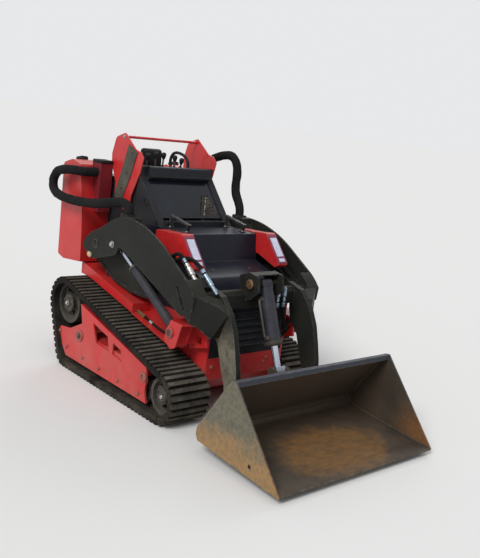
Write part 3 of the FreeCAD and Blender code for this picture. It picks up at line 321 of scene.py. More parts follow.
def weathered(name, base, shade, roughness, dirt=0.5, low=0.5, upward=0.4, wear=0.5, scratches=0.25, metal=0.0,
              coat=0.0, worn_to=BARE_STEEL, worn_metal=0.8, bump=0.12, dust=DUST, grain=420.0, gloss=0.5,
              paint_over=None, edge=0.004, clouds=5.0):
    """A base colour with shade variation, wear to metal, then dust on top."""
    material = bpy.data.materials.new(name)
    material.use_nodes = True
    tree = material.node_tree
    shader = tree.nodes["Principled BSDF"]
    place = add(tree, "TexCoord").outputs["Object"]
    cloud_mask = ramp(tree, noise(tree, place, clouds, 6.0), 0.3, 0.7)
    paint = mix_colour(tree, cloud_mask, base, shade)
    if paint_over is not None:
        paint = paint_over(tree, place, paint)
    worn = use_group(tree, WEAR, Amount=wear, Scratches=scratches, Edge_Width=edge).outputs["Mask"]
    stripped = mix_colour(tree, worn, paint, worn_to)
    settled = use_group(tree, DIRT, Amount=dirt, Low_Height=low, Upward=upward)
    dusty = settled.outputs["Mask"]
    tree.links.new(mix_colour(tree, dusty, stripped, dust), shader.inputs["Base Color"])
    smooth = mix_value(tree, cloud_mask, roughness, min(1.0, roughness + 0.12))
    tree.links.new(mix_value(tree, dusty, smooth, 0.92), shader.inputs["Roughness"])
    bare = mix_value(tree, worn, metal, worn_metal)
    tree.links.new(mix_value(tree, dusty, bare, 0.0), shader.inputs["Metallic"])
    shader.inputs["Coat Weight"].default_value = coat
    shader.inputs["Coat Roughness"].default_value = 0.12
    shader.inputs["Specular IOR Level"].default_value = gloss
    height = use_group(tree, GRAIN, Fine_Scale=grain).outputs["Height"]
    dust_height = reckon(tree, "MULTIPLY", settled.outputs["Grain"], dusty)
    surface = add(tree, "Bump", (
        ("Strength", bump), ("Distance", 0.002), ("Height", reckon(tree, "ADD", height, dust_height))))
    tree.links.new(surface.outputs[0], shader.inputs["Normal"])
    return material


# %% [markdown]
# The bucket isn't painted any more. Soil has stained its outer sides orange low down, dried mud lies in the middle
# of the floor, the back is brown and the rim is blue-grey where material slides over it. Inside, these colours and
# the bare steel are kept as dark as the inside lies in shade, so they are partly painted shade. Those are places on
# the bucket, so each is a mask made from Object coordinates. The small round hole in each side is drawn the same
# way, as a black dot of painted shade. The dried splashes on the outer faces of the arm legs are drawn the same way
# too.

# %% Stains and painted shade of the bucket, and stains of the arm legs
MUD_MIDDLE = spot(1660, 45, 30)
MUD_REACH = (0.215, 0.33)
STAIN_HEIGHT = 0.165
OUTER_FACE = 0.5322
INNER_FACE = 0.5245
SIDE_HOLE = spot(1679, 90)
HOLE_RADIUS = (0.0105, 0.009)


def bucket_stains_and_shade(tree, place, bare):
    axes = add(tree, "SeparateXYZ", ((0, place),))
    x, y, z = axes.outputs["X"], axes.outputs["Y"], axes.outputs["Z"]
    ragged = reckon(tree, "SUBTRACT", noise(tree, place, 11.0, 8.0, 0.72), 0.5)
    streaky = add(tree, "Mapping", (("Vector", place), ("Scale", (7.0, 2.2, 7.0)))).outputs[0]
    streaks = ramp(tree, noise(tree, streaky, 7.0, 8.0, 0.74), 0.34, 0.62, 0.35, 1.0)
    along = reckon(tree, "DIVIDE", reckon(tree, "SUBTRACT", x, MUD_MIDDLE.x), MUD_REACH[0])
    over_it = reckon(tree, "DIVIDE", reckon(tree, "SUBTRACT", y, MUD_MIDDLE.y), MUD_REACH[1])
    away = reckon(tree, "ADD", reckon(tree, "MULTIPLY", along, along), reckon(tree, "MULTIPLY", over_it, over_it))
    patch = ramp(tree, reckon(tree, "ADD", away, reckon(tree, "MULTIPLY", ragged, 2.2)), 1.30, 0.50)
    mud = reckon(tree, "MULTIPLY", reckon(tree, "MULTIPLY", patch, ramp(tree, z, 0.085, 0.06)), streaks)
    depth = reckon(tree, "ABSOLUTE", y, 0.0)
    outside = reckon(tree, "GREATER_THAN", depth, OUTER_FACE)
    wavy = reckon(tree, "ADD", z, reckon(tree, "MULTIPLY", ragged, 0.30))
    low_side = reckon(tree, "MULTIPLY", ramp(tree, wavy, STAIN_HEIGHT + 0.05, STAIN_HEIGHT - 0.055), streaks)
    back = ramp(tree, x, spot(1620, 0).x, spot(1480, 0).x)
    rim = ramp(tree, z, 0.385, 0.40)
    corner = reckon(tree, "MULTIPLY", ramp(tree, x, spot(1600, 0).x, spot(1760, 0).x), ramp(tree, wavy, 0.24, 0.10))
    wall = reckon(tree, "MULTIPLY", reckon(tree, "GREATER_THAN", depth, INNER_FACE), corner)
    # Inside the bucket, the bare steel and the stains are set as dark as the inside shows in shade, so they are
    # partly painted shade.
    inside = mix_colour(tree, reckon(tree, "MULTIPLY", back, streaks), bare, colour(0.070, 0.048, 0.032))
    inside = mix_colour(tree, mud, inside, colour(0.225, 0.112, 0.036))
    inside = mix_colour(tree, reckon(tree, "MULTIPLY", wall, streaks), inside, colour(0.24, 0.10, 0.030))
    inside = mix_colour(tree, rim, inside, colour(0.040, 0.046, 0.060))
    blotchy = mix_colour(tree, streaks, colour(0.060, 0.058, 0.042), colour(0.170, 0.156, 0.112))
    outside_colour = mix_colour(tree, low_side, blotchy, colour(0.36, 0.205, 0.078))
    # The side hole is a black dot of painted shade, where a hole would look dark.
    aside = reckon(tree, "SUBTRACT", x, SIDE_HOLE.x)
    above = reckon(tree, "SUBTRACT", z, SIDE_HOLE.z)
    apart = reckon(tree, "ADD", reckon(tree, "MULTIPLY", aside, aside), reckon(tree, "MULTIPLY", above, above))
    hole_shade = ramp(tree, apart, HOLE_RADIUS[0] ** 2, HOLE_RADIUS[1] ** 2)
    outside_colour = mix_colour(tree, hole_shade, outside_colour, colour(0.006, 0.005, 0.004))
    return mix_colour(tree, outside, inside, outside_colour)


def leg_dust(tree, place, bare):
    """The outer faces of the arm legs are grey-tan with dried splashes."""
    axes = add(tree, "SeparateXYZ", ((0, place),))
    depth = reckon(tree, "ABSOLUTE", axes.outputs["Y"], 0.0)
    flank = reckon(tree, "MULTIPLY", ramp(tree, depth, 0.2885, 0.2895), ramp(tree, depth, 0.2935, 0.2925))
    streaks = ramp(tree, noise(tree, place, 26.0, 7.0, 0.7), 0.34, 0.6, 0.3, 1.0)
    low = ramp(tree, axes.outputs["Z"], 0.58, 0.46)
    mask = reckon(tree, "MULTIPLY", reckon(tree, "MULTIPLY", flank, streaks), low)
    return mix_colour(tree, mask, bare, colour(0.155, 0.138, 0.105))


# %% [markdown]
# Now the finishes themselves. The dark ones are kept low in gloss, because a
# pale studio would otherwise lift every black to grey.

# %% Finishes of this machine
FINISHES = {
    "red_paint": weathered("red_paint", colour(0.56, 0.012, 0.014), colour(0.44, 0.010, 0.012), 0.34, dirt=0.42,
                           low=0.35, upward=0.15, wear=0.35, scratches=0.05, coat=0.25, gloss=0.35),
    # dark_red_paint is the red paint made darker: painted shade for red faces that lie in shade, such as the box
    # before the right tank.
    "dark_red_paint": weathered("dark_red_paint", colour(0.20, 0.010, 0.018), colour(0.14, 0.008, 0.014), 0.42,
                                dirt=0.25, upward=0.1, coat=0.1, gloss=0.3),
    # The finish of the lamp faces is the pods' red paint made dark as painted shade, tinted purple as a painted
    # reflection of the sky.
    "lamp_shaded_red": weathered("lamp_shaded_red", colour(0.22, 0.012, 0.055), colour(0.15, 0.010, 0.045), 0.3, dirt=0.2,
                          upward=0.1, wear=0.4, scratches=0.5, coat=0.3, gloss=0.4,
                          worn_to=colour(0.45, 0.40, 0.44), worn_metal=0.0),
    "black_paint": weathered("black_paint", colour(0.010, 0.011, 0.015), colour(0.016, 0.018, 0.024), 0.36,
                             dirt=0.12, low=0.4, upward=0.22, wear=0.55, scratches=0.08, coat=0.04, gloss=0.14),
    "barrel_paint": weathered("barrel_paint", colour(0.014, 0.016, 0.026), colour(0.030, 0.032, 0.042), 0.38,
                              dirt=0.4, low=0.5, upward=0.5, wear=0.6, scratches=0.45, coat=0.1, gloss=0.2,
                              dust=colour(0.22, 0.18, 0.14), clouds=22.0),
    "arm_paint": weathered("arm_paint", colour(0.011, 0.0115, 0.010), colour(0.020, 0.021, 0.018), 0.45, dirt=0.2,
                           low=0.5, upward=0.4, wear=0.65, scratches=0.14, gloss=0.1, paint_over=leg_dust,
                           dust=colour(0.20, 0.175, 0.135)),
    "hood_paint": weathered("hood_paint", colour(0.006, 0.008, 0.016), colour(0.010, 0.012, 0.022), 0.3, dirt=0.1,
                            low=0.3, upward=0.26, wear=0.4, scratches=0.05, coat=0.06, gloss=0.16),
    "track_rubber": weathered("track_rubber", colour(0.008, 0.008, 0.008), colour(0.015, 0.0145, 0.013), 0.85,
                              dirt=0.26, low=0.36, upward=0.08, wear=0.2, scratches=0.05,
                              worn_to=colour(0.10, 0.09, 0.08), worn_metal=0.0, bump=0.35, grain=260.0, gloss=0.06),
    "tread_top": weathered("tread_top", colour(0.060, 0.055, 0.046), colour(0.018, 0.017, 0.016), 0.9, dirt=0.5,
                           low=0.5, upward=0.35, wear=0.0, scratches=0.3, worn_to=colour(0.02, 0.02, 0.02),
                           worn_metal=0.0, bump=0.5, grain=180.0, gloss=0.15, clouds=30.0,
                           dust=colour(0.27, 0.235, 0.185)),
    "hose_rubber": weathered("hose_rubber", colour(0.006, 0.006, 0.007), colour(0.014, 0.014, 0.015), 0.7,
                             dirt=0.06, upward=0.3, wear=0.0, scratches=0.0, worn_metal=0.0, bump=0.45,
                             grain=520.0, gloss=0.08),
    "wheel_steel": weathered("wheel_steel", colour(0.016, 0.016, 0.016), colour(0.045, 0.042, 0.037), 0.6,
                             dirt=0.35, low=0.55, upward=0.3, wear=0.9, scratches=0.25, gloss=0.15,
                             worn_to=colour(0.34, 0.31, 0.27)),
    "worn_steel": weathered("worn_steel", colour(0.052, 0.044, 0.034), colour(0.080, 0.062, 0.044), 0.55, dirt=0.25,
                            low=0.4, upward=0.1, wear=0.7, scratches=0.35, metal=0.25, gloss=0.3,
                            worn_to=colour(0.30, 0.29, 0.27), worn_metal=0.7, dust=colour(0.22, 0.17, 0.12)),
    "bucket_steel": weathered("bucket_steel", colour(0.034, 0.029, 0.024), colour(0.070, 0.055, 0.040), 0.55,
                              dirt=0.22, low=0.2, upward=0.1, wear=0.75, scratches=0.4, metal=0.2, gloss=0.3,
                              worn_to=colour(0.30, 0.28, 0.25), worn_metal=0.6, dust=colour(0.20, 0.14, 0.09),
                              paint_over=bucket_stains_and_shade, edge=0.006, clouds=7.0),
    # The blue tint in the chrome's colours, also in its scratch lines, is painted reflection of the sky.
    "chrome": weathered("chrome", colour(0.62, 0.66, 0.74), colour(0.42, 0.46, 0.55), 0.16, dirt=0.12, wear=0.0,
                        scratches=0.15, metal=1.0, worn_metal=1.0, bump=0.03, worn_to=colour(0.1, 0.15, 0.3)),
    "zinc": weathered("zinc", colour(0.56, 0.56, 0.53), colour(0.34, 0.34, 0.33), 0.34, dirt=0.2, wear=0.3,
                      scratches=0.3, metal=0.85, worn_to=colour(0.12, 0.12, 0.12)),
    "blue_zinc": weathered("blue_zinc", colour(0.36, 0.46, 0.56), colour(0.20, 0.26, 0.32), 0.32, dirt=0.15,
                           wear=0.3, scratches=0.3, metal=0.8, worn_to=colour(0.08, 0.09, 0.1)),
    "brass": weathered("brass", colour(0.36, 0.22, 0.10), colour(0.17, 0.10, 0.055), 0.4, dirt=0.3, wear=0.3,
                       scratches=0.4, metal=0.8, worn_to=colour(0.10, 0.06, 0.04)),
    "dark_bolt": weathered("dark_bolt", colour(0.10, 0.085, 0.07), colour(0.05, 0.045, 0.04), 0.5, dirt=0.35,
                           wear=0.8, scratches=0.3, metal=0.6, edge=0.002),
    "red_bolt": weathered("red_bolt", colour(0.33, 0.035, 0.03), colour(0.22, 0.05, 0.04), 0.45, dirt=0.45,
                          wear=0.9, scratches=0.4, edge=0.002, worn_to=colour(0.42, 0.30, 0.26)),
    "cream_block": weathered("cream_block", colour(0.56, 0.46, 0.26), colour(0.42, 0.34, 0.2), 0.6, dirt=0.35,
                             wear=0.2, scratches=0.2, worn_metal=0.0, worn_to=colour(0.3, 0.25, 0.18)),
    "plastic": weathered("plastic", colour(0.010, 0.010, 0.012), colour(0.016, 0.016, 0.018), 0.45, dirt=0.1,
                         upward=0.25, wear=0.2, scratches=0.08, worn_to=colour(0.06, 0.06, 0.06), worn_metal=0.0,
                         bump=0.25, grain=900.0, gloss=0.14),
    "screen_tint": weathered("screen_tint", colour(0.003, 0.004, 0.007), colour(0.010, 0.014, 0.022), 0.06,
                             dirt=0.05, upward=0.05, wear=0.1, scratches=0.08, coat=0.15, worn_metal=0.0, bump=0.02,
                             gloss=0.2, clouds=3.0),
    "pad_vinyl": weathered("pad_vinyl", colour(0.012, 0.012, 0.013), colour(0.018, 0.018, 0.020), 0.5, dirt=0.15,
                           wear=0.05, scratches=0.04, worn_metal=0.0, bump=0.4, grain=1200.0, gloss=0.15),
    "lamp": weathered("lamp", colour(0.62, 0.64, 0.76), colour(0.46, 0.48, 0.62), 0.16, dirt=0.12, wear=0.0,
                      scratches=0.05, coat=0.6, worn_metal=0.0, bump=0.05, clouds=40.0),
    "grip_tape": weathered("grip_tape", colour(0.105, 0.098, 0.080), colour(0.045, 0.043, 0.037), 0.9, dirt=0.3,
                           upward=0.1, wear=0.1, scratches=0.25, worn_metal=0.0, worn_to=colour(0.02, 0.02, 0.02),
                           bump=0.5, grain=700.0, gloss=0.1, clouds=6.0),
    "engine": weathered("engine", colour(0.04, 0.04, 0.04), colour(0.07, 0.07, 0.066), 0.7, dirt=0.3),
    "handle_paint": weathered("handle_paint", colour(0.016, 0.016, 0.018), colour(0.034, 0.034, 0.036), 0.4,
                              dirt=0.1, upward=0.3, wear=1.0, scratches=0.25, gloss=0.15, edge=0.003,
                              worn_to=colour(0.36, 0.35, 0.34)),
}
slots = {part["node"]: part["material_slot"] for part in frame["record"]["subparts"]}
NODE_FINISH = {
    "bucket": "bucket_steel", "hood": "hood_paint", "hood_handles": "handle_paint", "screen_panel": "screen_tint",
    "tilt_barrel": "barrel_paint", "lift_barrels": "barrel_paint",
}
for name, node in nodes.items():
    node.data.materials.clear()
    node.data.materials.append(FINISHES[NODE_FINISH.get(name, slots[name])])
print("finishes:", len(FINISHES))

# %% [markdown]
# The bars of a rubber track are polished pale by the gravel on their tops,
# while the grooves stay black. The tops are the faces that lie on the widest
# outline of the loop in side view, so they are found by that and get a finish
# of their own.

# %% Bar tops of the tracks


def widest_outline(points):
    """The corners of the smallest convex outline round points of a plane."""
    ordered = sorted(points)
    halves = []
    for run in (ordered, ordered[::-1]):
        half = []
        for point in run:
            while len(half) > 1 and (half[-1][0] - half[-2][0]) * (point[1] - half[-2][1]) <= (
                    half[-1][1] - half[-2][1]) * (point[0] - half[-2][0]):
                half.pop()
            half.append(point)
        halves += half[:-1]
    return halves


def off_outline(outline, point):
    """How far a point of the side view lies inside an outline."""
    nearest = math.inf
    for start, end in zip(outline, outline[1:] + outline[:1]):
        run = Vector(end) - Vector(start)
        share = max(0.0, min(1.0, (Vector(point) - Vector(start)).dot(run) / max(run.length_squared, 1e-12)))
        nearest = min(nearest, (Vector(point) - Vector(start) - run * share).length)
    return nearest


ON_OUTLINE = 0.003
ACROSS = 0.3
for name in ("track_right", "track_left"):
    mesh = nodes[name].data
    outline = widest_outline({(round(v.co.x, 5), round(v.co.z, 5)) for v in mesh.vertices})
    mesh.materials.append(FINISHES["tread_top"])
    tops = 0
    for face in mesh.polygons:
        if abs(face.normal.y) < ACROSS and all(
                off_outline(outline, mesh.vertices[v].co.xz) < ON_OUTLINE for v in face.vertices):
            face.material_index = 1
            tops += 1
    print(name, "bar-top faces:", tops)

# %% [markdown]
# ## Tools for the small parts
# A maker turns round parts, cuts plates, bends pipes and bolts them on. The
# helpers below do the same with Blender's own operators: a circle is extruded
# and resized step by step, an outline is extruded to a plate, and a spline
# with a round section becomes a hose. A part is made at the origin, standing
# up, and then set on the surface that carries it.

# %% Picking, softening and setting down
surfaces = {}


def pick(*pieces):
    bpy.ops.object.select_all(action="DESELECT")
    for piece in pieces:
        piece.select_set(True)
    bpy.context.view_layer.objects.active = pieces[0]


def seat(node, start, toward):
    """Where a straight line from a point first meets a node's surface."""
    if node not in surfaces:
        mesh = nodes[node].data
        surfaces[node] = BVHTree.FromPolygons([v.co for v in mesh.vertices], [p.vertices for p in mesh.polygons])
    place = surfaces[node].ray_cast(Vector(start), Vector(toward).normalized())[0]
    if place is None:
        raise ValueError("nothing of " + node + " lies there")
    return place


def soften(piece, width, segments=2):
    """Round the sharp edges of a piece, as on cast or pressed parts."""
    bevel = piece.modifiers.new("soft_edges", "BEVEL")
    bevel.width = width
    bevel.segments = segments
    bevel.limit_method = "ANGLE"
    pick(piece)
    bpy.ops.object.modifier_apply(modifier=bevel.name)
    return piece


def stand(piece, point, direction=(0, 0, 1)):
    """Turn a part's own upright along a direction, at a point, within its mesh."""
    piece.location = Vector(point)
    piece.rotation_euler = Vector(direction).to_track_quat("Z", "Y").to_euler()
    pick(piece)
    bpy.ops.object.transform_apply(location=True, rotation=True, scale=True)
    return piece


def joined(name, *pieces):
    pick(*pieces)
    if len(pieces) > 1:
        bpy.ops.object.join()
    piece = bpy.context.object
    piece.name = name
    return piece


def copies(name, pattern, places):
    """One part repeated at places, each a point and a direction, as one piece."""
    made = []
    for point, direction in places:
        pick(pattern)
        bpy.ops.object.duplicate()
        made.append(stand(bpy.context.object, point, direction))
    bpy.data.objects.remove(pattern)
    return joined(name, *made)


def hand_on(piece, body, finish, smooth=38):
    """Give a piece its finish, and the body it moves with."""
    pick(piece)
    bpy.ops.object.shade_smooth_by_angle(angle=math.radians(smooth))
    piece.data.materials.clear()
    piece.data.materials.append(FINISHES[finish])
    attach(piece, body)
    print(piece.name, "faces:", len(piece.data.polygons))
    return piece


# %% [markdown]
# A turned part is the lathe's work in few steps: a flat disc is extruded up
# and resized at every change of radius. A plate is the outline a laser would
# cut, extruded to its thickness, with its edges broken by a fine bevel. A
# pipe is a spline with a round section, made a mesh so that it can be joined.

# %% Turned parts, plates, blocks and pipes
MM = 0.001


def turned(name, steps, sides=24):
    """A round part from pairs of height and radius in millimetres, bottom first."""
    bpy.ops.object.select_all(action="DESELECT")
    height, radius = steps[0]
    bpy.ops.mesh.primitive_circle_add(vertices=sides, radius=radius * MM, fill_type="NGON",
                                      location=(0, 0, height * MM))
    piece = bpy.context.object
    bpy.ops.object.transform_apply(location=True)
    bpy.ops.object.mode_set(mode="EDIT")
    bpy.ops.mesh.select_all(action="SELECT")
    for next_height, next_radius in steps[1:]:
        bpy.ops.mesh.extrude_region_move(
            TRANSFORM_OT_translate={"value": (0, 0, (next_height - height) * MM)})
        grow = next_radius / radius
        bpy.ops.transform.resize(value=(grow, grow, 1), center_override=(0, 0, next_height * MM))
        height, radius = next_height, next_radius
    bpy.ops.mesh.select_all(action="SELECT")
    bpy.ops.mesh.normals_make_consistent(inside=False)
    bpy.ops.object.mode_set(mode="OBJECT")
    piece.name = name
    return piece


def cut_plate(name, outline, thickness, middle, edge=1.5):
    """A plate with an outline of the side view, its middle so far to the left."""
    bpy.ops.object.select_all(action="DESELECT")
    bpy.ops.mesh.primitive_circle_add(vertices=len(outline), fill_type="NGON")
    piece = bpy.context.object
    for corner, (x, z) in zip(piece.data.vertices, outline):
        corner.co = spot(x, z, middle - thickness / 2)
    bpy.ops.object.mode_set(mode="EDIT")
    bpy.ops.mesh.select_all(action="SELECT")
    bpy.ops.mesh.extrude_region_move(TRANSFORM_OT_translate={"value": (0, thickness * MM, 0)})
    bpy.ops.mesh.select_all(action="SELECT")
    bpy.ops.mesh.normals_make_consistent(inside=False)
    bpy.ops.object.mode_set(mode="OBJECT")
    piece.name = name
    return soften(piece, edge * MM)


def block(name, low, high, edge=2.0):
    """A block with rounded edges between two corners of x, y and z."""
    outline = ((low[0], low[2]), (high[0], low[2]), (high[0], high[2]), (low[0], high[2]))
    return cut_plate(name, outline, high[1] - low[1], (low[1] + high[1]) / 2, edge)


def pipe(name, points, radius):
    """A bent pipe or hose along points, with closed ends, as a mesh."""
    data = bpy.data.curves.new(name, "CURVE")
    data.dimensions = "3D"
    data.bevel_depth = radius * MM
    data.bevel_resolution = 4
    data.use_fill_caps = True
    data.resolution_u = 8
    line = data.splines.new("NURBS")
    line.points.add(len(points) - 1)
    for knot, point in zip(line.points, points):
        knot.co = (*point, 1.0)
    line.order_u = 3
    line.use_endpoint_u = True
    piece = bpy.data.objects.new(name, data)
    bpy.context.scene.collection.objects.link(piece)
    pick(piece)
    bpy.ops.object.convert(target="MESH")
    piece = bpy.context.object
    bpy.ops.object.mode_set(mode="EDIT")
    bpy.ops.mesh.select_all(action="SELECT")
    bpy.ops.mesh.remove_doubles(threshold=0.00005)
    bpy.ops.mesh.normals_make_consistent(inside=False)
    bpy.ops.object.mode_set(mode="OBJECT")
    return piece


def bolt(name, width):
    """A six-sided head with rounded corners on its washer."""
    washer_top = 2.2
    washer = turned("washer", ((-2, 0.78 * width), (1.6, 0.78 * width), (washer_top, 0.7 * width)), 20)
    head = turned("head", (
        (0, 0.56 * width), (washer_top + 0.34 * width, 0.58 * width),
        (washer_top + 0.44 * width, 0.47 * width), (washer_top + 0.46 * width, 0.2 * width)), 6)
    return joined(name, washer, head)


SIDES = (("right", -1), ("left", 1))
OUTSIDE = 760.0

# %% [markdown]
# ## Undercarriage
# Each track frame is held by bolts along its outer plate, with a wide boss at
# the tensioner and a ring boss near the front. The real ones have lost most
# of their paint, so they get a finish between red and bare steel.

# %% Track-frame bolts and bosses
FRAME_BOLTS = ((-45, 194), (34, 117), (219, 107), (394, 101), (587, 97), (780, 94))
TENSIONER_BOSS = (174, 224)
RING_BOSS = (815, 195)
BOSS_FACE = 7


def flank(node, x, z, side):
    """The place on a node's outer flank that shows at x and z of the side view."""
    return seat(node, spot(x, z, side * OUTSIDE), (0, -side, 0))


for name, side in SIDES:
    plate_node = "track_frame_" + name
    outward = (0, side, 0)
    places = [(flank(plate_node, x, z, side), outward) for x, z in FRAME_BOLTS]
    hand_on(copies("frame_bolts_" + name, bolt("frame_bolt", 15), places), "frame", "red_bolt")
    boss = turned("tensioner_boss", ((-2, 31), (BOSS_FACE, 31), (9, 28), (9, 22), (BOSS_FACE, 21)), 32)
    boss_place = flank(plate_node, *TENSIONER_BOSS, side)
    stand(boss, boss_place, outward)
    ring = turned("ring_boss", ((-2, 27), (6, 27), (8, 24), (8, 16), (2, 15)), 32)
    stand(ring, flank(plate_node, *RING_BOSS, side), outward)
    hand_on(joined("frame_bosses_" + name, boss, ring), "frame", "red_bolt")
    cap_bolt = stand(bolt("tensioner_bolt", 22), boss_place + Vector(outward) * BOSS_FACE * MM, outward)
    cap_bolt.name = "tensioner_bolt_" + name
    hand_on(cap_bolt, "frame", "dark_bolt")

# %% [markdown]
# The drive wheel hangs on a motor hub with a ring of bolts round a pale
# centre nut, and the front wheel turns on a pin with a bright end. A wheel
# that never turns by itself here still looks driven when its hub is right.

# %% Hubs
DRIVE_HUB = (-10, 367)
IDLER_HUB = (955, 136)
FLANGE_STEPS = ((-3, 50), (5, 50), (7, 47), (7, 24), (12, 22), (13, 16))
HUB_BOLTS = 5
BOLT_CIRCLE = 36
for name, side in SIDES:
    outward = (0, side, 0)
    face = flank("drive_wheels", *DRIVE_HUB, side)
    flange = stand(turned("drive_flange", FLANGE_STEPS, 32), face, outward)
    ring_places = []
    for index in range(HUB_BOLTS):
        turn = math.radians(360 / HUB_BOLTS * index + 18)
        off_centre = Vector((BOLT_CIRCLE * math.cos(turn), 5.5 * side, BOLT_CIRCLE * math.sin(turn)))
        ring_places.append((face + off_centre * MM, outward))
    hub_bolts = copies("hub_bolts", bolt("hub_bolt", 12), ring_places)
    hand_on(joined("drive_hub_" + name, flange, hub_bolts), "frame", "wheel_steel")
    nut = stand(bolt("centre_nut", 21), face + Vector(outward) * 11 * MM, outward)
    nut.name = "drive_nut_" + name
    hand_on(nut, "frame", "zinc")
    face = flank("front_idlers", *IDLER_HUB, side)
    cover = turned("idler_cover", ((-3, 31), (4, 31), (7, 27), (7, 17), (5, 16)), 32)
    hand_on(joined("idler_hub_" + name, stand(cover, face, outward)), "frame", "wheel_steel")
    pin = turned("idler_pin", ((-2, 11), (9, 11), (11, 9), (11, 4), (9.5, 3)), 20)
    hand_on(joined("idler_pin_" + name, stand(pin, face, outward)), "frame", "zinc")

# %% [markdown]
# ## Loader arms and cylinders
# Every pin end shows: a domed boss with a keeper bolt on the lower bracket, a
# bush at the arm pivot, a bright nut where the rod's eye meets the arm, and
# washers on the ears of the cross member.

# %% Pin ends
LIFT_BASE = (905, 450)
LIFT_TIP = (322, 778)
ARM_PIVOT = (153, 749)
TILT_BASE = (1084, 722)
EAR_OUTSIDE = 245.0
BESIDE_PIVOT = 36
STOP_OUTLINE = ((84, 668), (112, 661), (121, 672), (117, 689), (92, 694), (82, 684))
for name, side in SIDES:
    outward = (0, side, 0)
    face = flank("lift_brackets", *LIFT_BASE, side)
    boss = stand(turned("pin_boss", ((-3, 29), (6, 29), (9, 25), (9, 17), (5, 16)), 28), face, outward)
    keeper = stand(bolt("keeper", 12), face + Vector((21 * MM, 7 * side * MM, -4 * MM)), outward)
    hand_on(joined("bracket_pin_boss_" + name, boss, keeper), "frame", "red_bolt")
    centre = stand(turned("pin_end", ((0, 13), (10, 13), (12, 10), (12, 4), (10, 3)), 20), face, outward)
    hand_on(joined("bracket_pin_end_" + name, centre), "frame", "dark_bolt")
    face = flank("loader_arms", ARM_PIVOT[0] + BESIDE_PIVOT, ARM_PIVOT[1], side)
    bush_place = Vector((spot(*ARM_PIVOT).x, face.y, spot(*ARM_PIVOT).z))
    bush = turned("pivot_bush", ((-6, 28), (2.5, 28), (3.5, 26), (3.5, 20), (-5, 19)), 32)
    stand(bush, bush_place, outward)
    hand_on(joined("pivot_bush_" + name, bush), "arms", "wheel_steel")
    face = flank("loader_arms", LIFT_TIP[0], LIFT_TIP[1], side)
    nut = stand(bolt("rod_pin_nut", 24), face, outward)
    hand_on(joined("rod_pin_nut_" + name, nut), "arms", "zinc")
    ear = seat("loader_arms", spot(*TILT_BASE, side * EAR_OUTSIDE), (0, -side, 0))
    washer = turned("ear_washer", ((-2, 25), (4, 25), (6, 22), (6, 13), (4, 12), (4, 8), (8, 7)), 28)
    hand_on(joined("ear_washer_" + name, stand(washer, ear, outward)), "arms", "brass")
    stop = cut_plate("arm_stop_" + name, STOP_OUTLINE, 12, side * 438, 3)
    hand_on(stop, "arms", "cream_block")

# %% [markdown]
# A cylinder's barrel ends in a gland, the screwed ring the rod slides
# through, and oil reaches it by steel tubes with fittings welded to the
# barrel. Both follow the barrel, so they ride on its body.

# %% Glands and tubes of the cylinders
TILT_TIP = (1262, 305)
TILT_LENGTH = 315
LIFT_LENGTH = 478


def along(base, tip, distance, y=0.0):
    """A point so many millimetres from the base pin towards the tip pin."""
    run = Vector(tip) - Vector(base)
    place = Vector(base) + run.normalized() * distance
    return spot(place.x, place.y, y)


tilt_run = along(TILT_BASE, TILT_TIP, 1) - along(TILT_BASE, TILT_TIP, 0)
TILT_GLAND = ((-18, 41.5), (-18, 46), (-16, 48), (-3, 48), (0, 46), (0, 38), (4, 37), (6, 26), (6, 22))
gland = stand(turned("tilt_gland", TILT_GLAND, 32), along(TILT_BASE, TILT_TIP, TILT_LENGTH), tilt_run)
hand_on(joined("tilt_gland", gland), "tilt_tube", "worn_steel")
feed = pipe("tilt_feed", [along(TILT_BASE, TILT_TIP, d, y) for d, y in (
    (78, -34), (80, -50), (92, -54), (180, -54), (262, -54), (276, -50), (280, -34))], 7)
hand_on(feed, "tilt_tube", "dark_bolt")
port = turned("port", ((-6, 15), (6, 15), (8, 13), (8, 10), (14, 10), (15, 8)), 20)
ports = copies("tilt_ports", port, [(along(TILT_BASE, TILT_TIP, d, -36), (0, -1, 0)) for d in (79, 279)])
hand_on(ports, "tilt_tube", "dark_bolt")

LIFT_GLAND = ((-14, 24.5), (-14, 28), (-12, 29.5), (-3, 29.5), (0, 28), (0, 23), (3, 22), (4, 15))
LIFT_RADIUS = 24
MID_BARREL = 260
lift_glands = []
lift_run = along(LIFT_BASE, LIFT_TIP, 1) - along(LIFT_BASE, LIFT_TIP, 0)
for _, side in SIDES:
    skin = seat("lift_barrels", along(LIFT_BASE, LIFT_TIP, MID_BARREL, side * OUTSIDE), (0, -side, 0))
    middle = skin.y / MM - side * LIFT_RADIUS
    gland = turned("lift_gland", LIFT_GLAND, 28)
    lift_glands.append(stand(gland, along(LIFT_BASE, LIFT_TIP, LIFT_LENGTH, middle), lift_run))
hand_on(joined("lift_glands", *lift_glands), "lift_barrel_pair", "dark_bolt")

# %% [markdown]
# ## Quick couplers
# Oil for a powered tool leaves by quick couplers: two lie along the right
# arm in a clamp, two stand before the cross member. Each is a stack of turned
# collars, so its whole shape is one list of heights and radii.

# %% Couplers
COUPLER_STEPS = (
    (0.00, 0.52), (0.07, 0.52), (0.07, 0.84), (0.20, 0.84), (0.22, 0.70), (0.27, 0.70), (0.27, 0.98), (0.31, 1.00),
    (0.33, 0.94), (0.36, 1.00), (0.39, 0.94), (0.42, 1.00), (0.45, 0.94), (0.48, 1.00), (0.60, 1.00), (0.62, 0.90),
    (0.64, 0.68), (0.78, 0.68), (0.79, 0.82), (0.90, 0.82), (0.92, 0.60), (1.00, 0.56),
)


def coupler(name, start, end, radius):
    length = (end - start).length / MM
    steps = [(height * length, wide * radius) for height, wide in COUPLER_STEPS]
    return stand(turned(name, steps, 24), start, end - start)


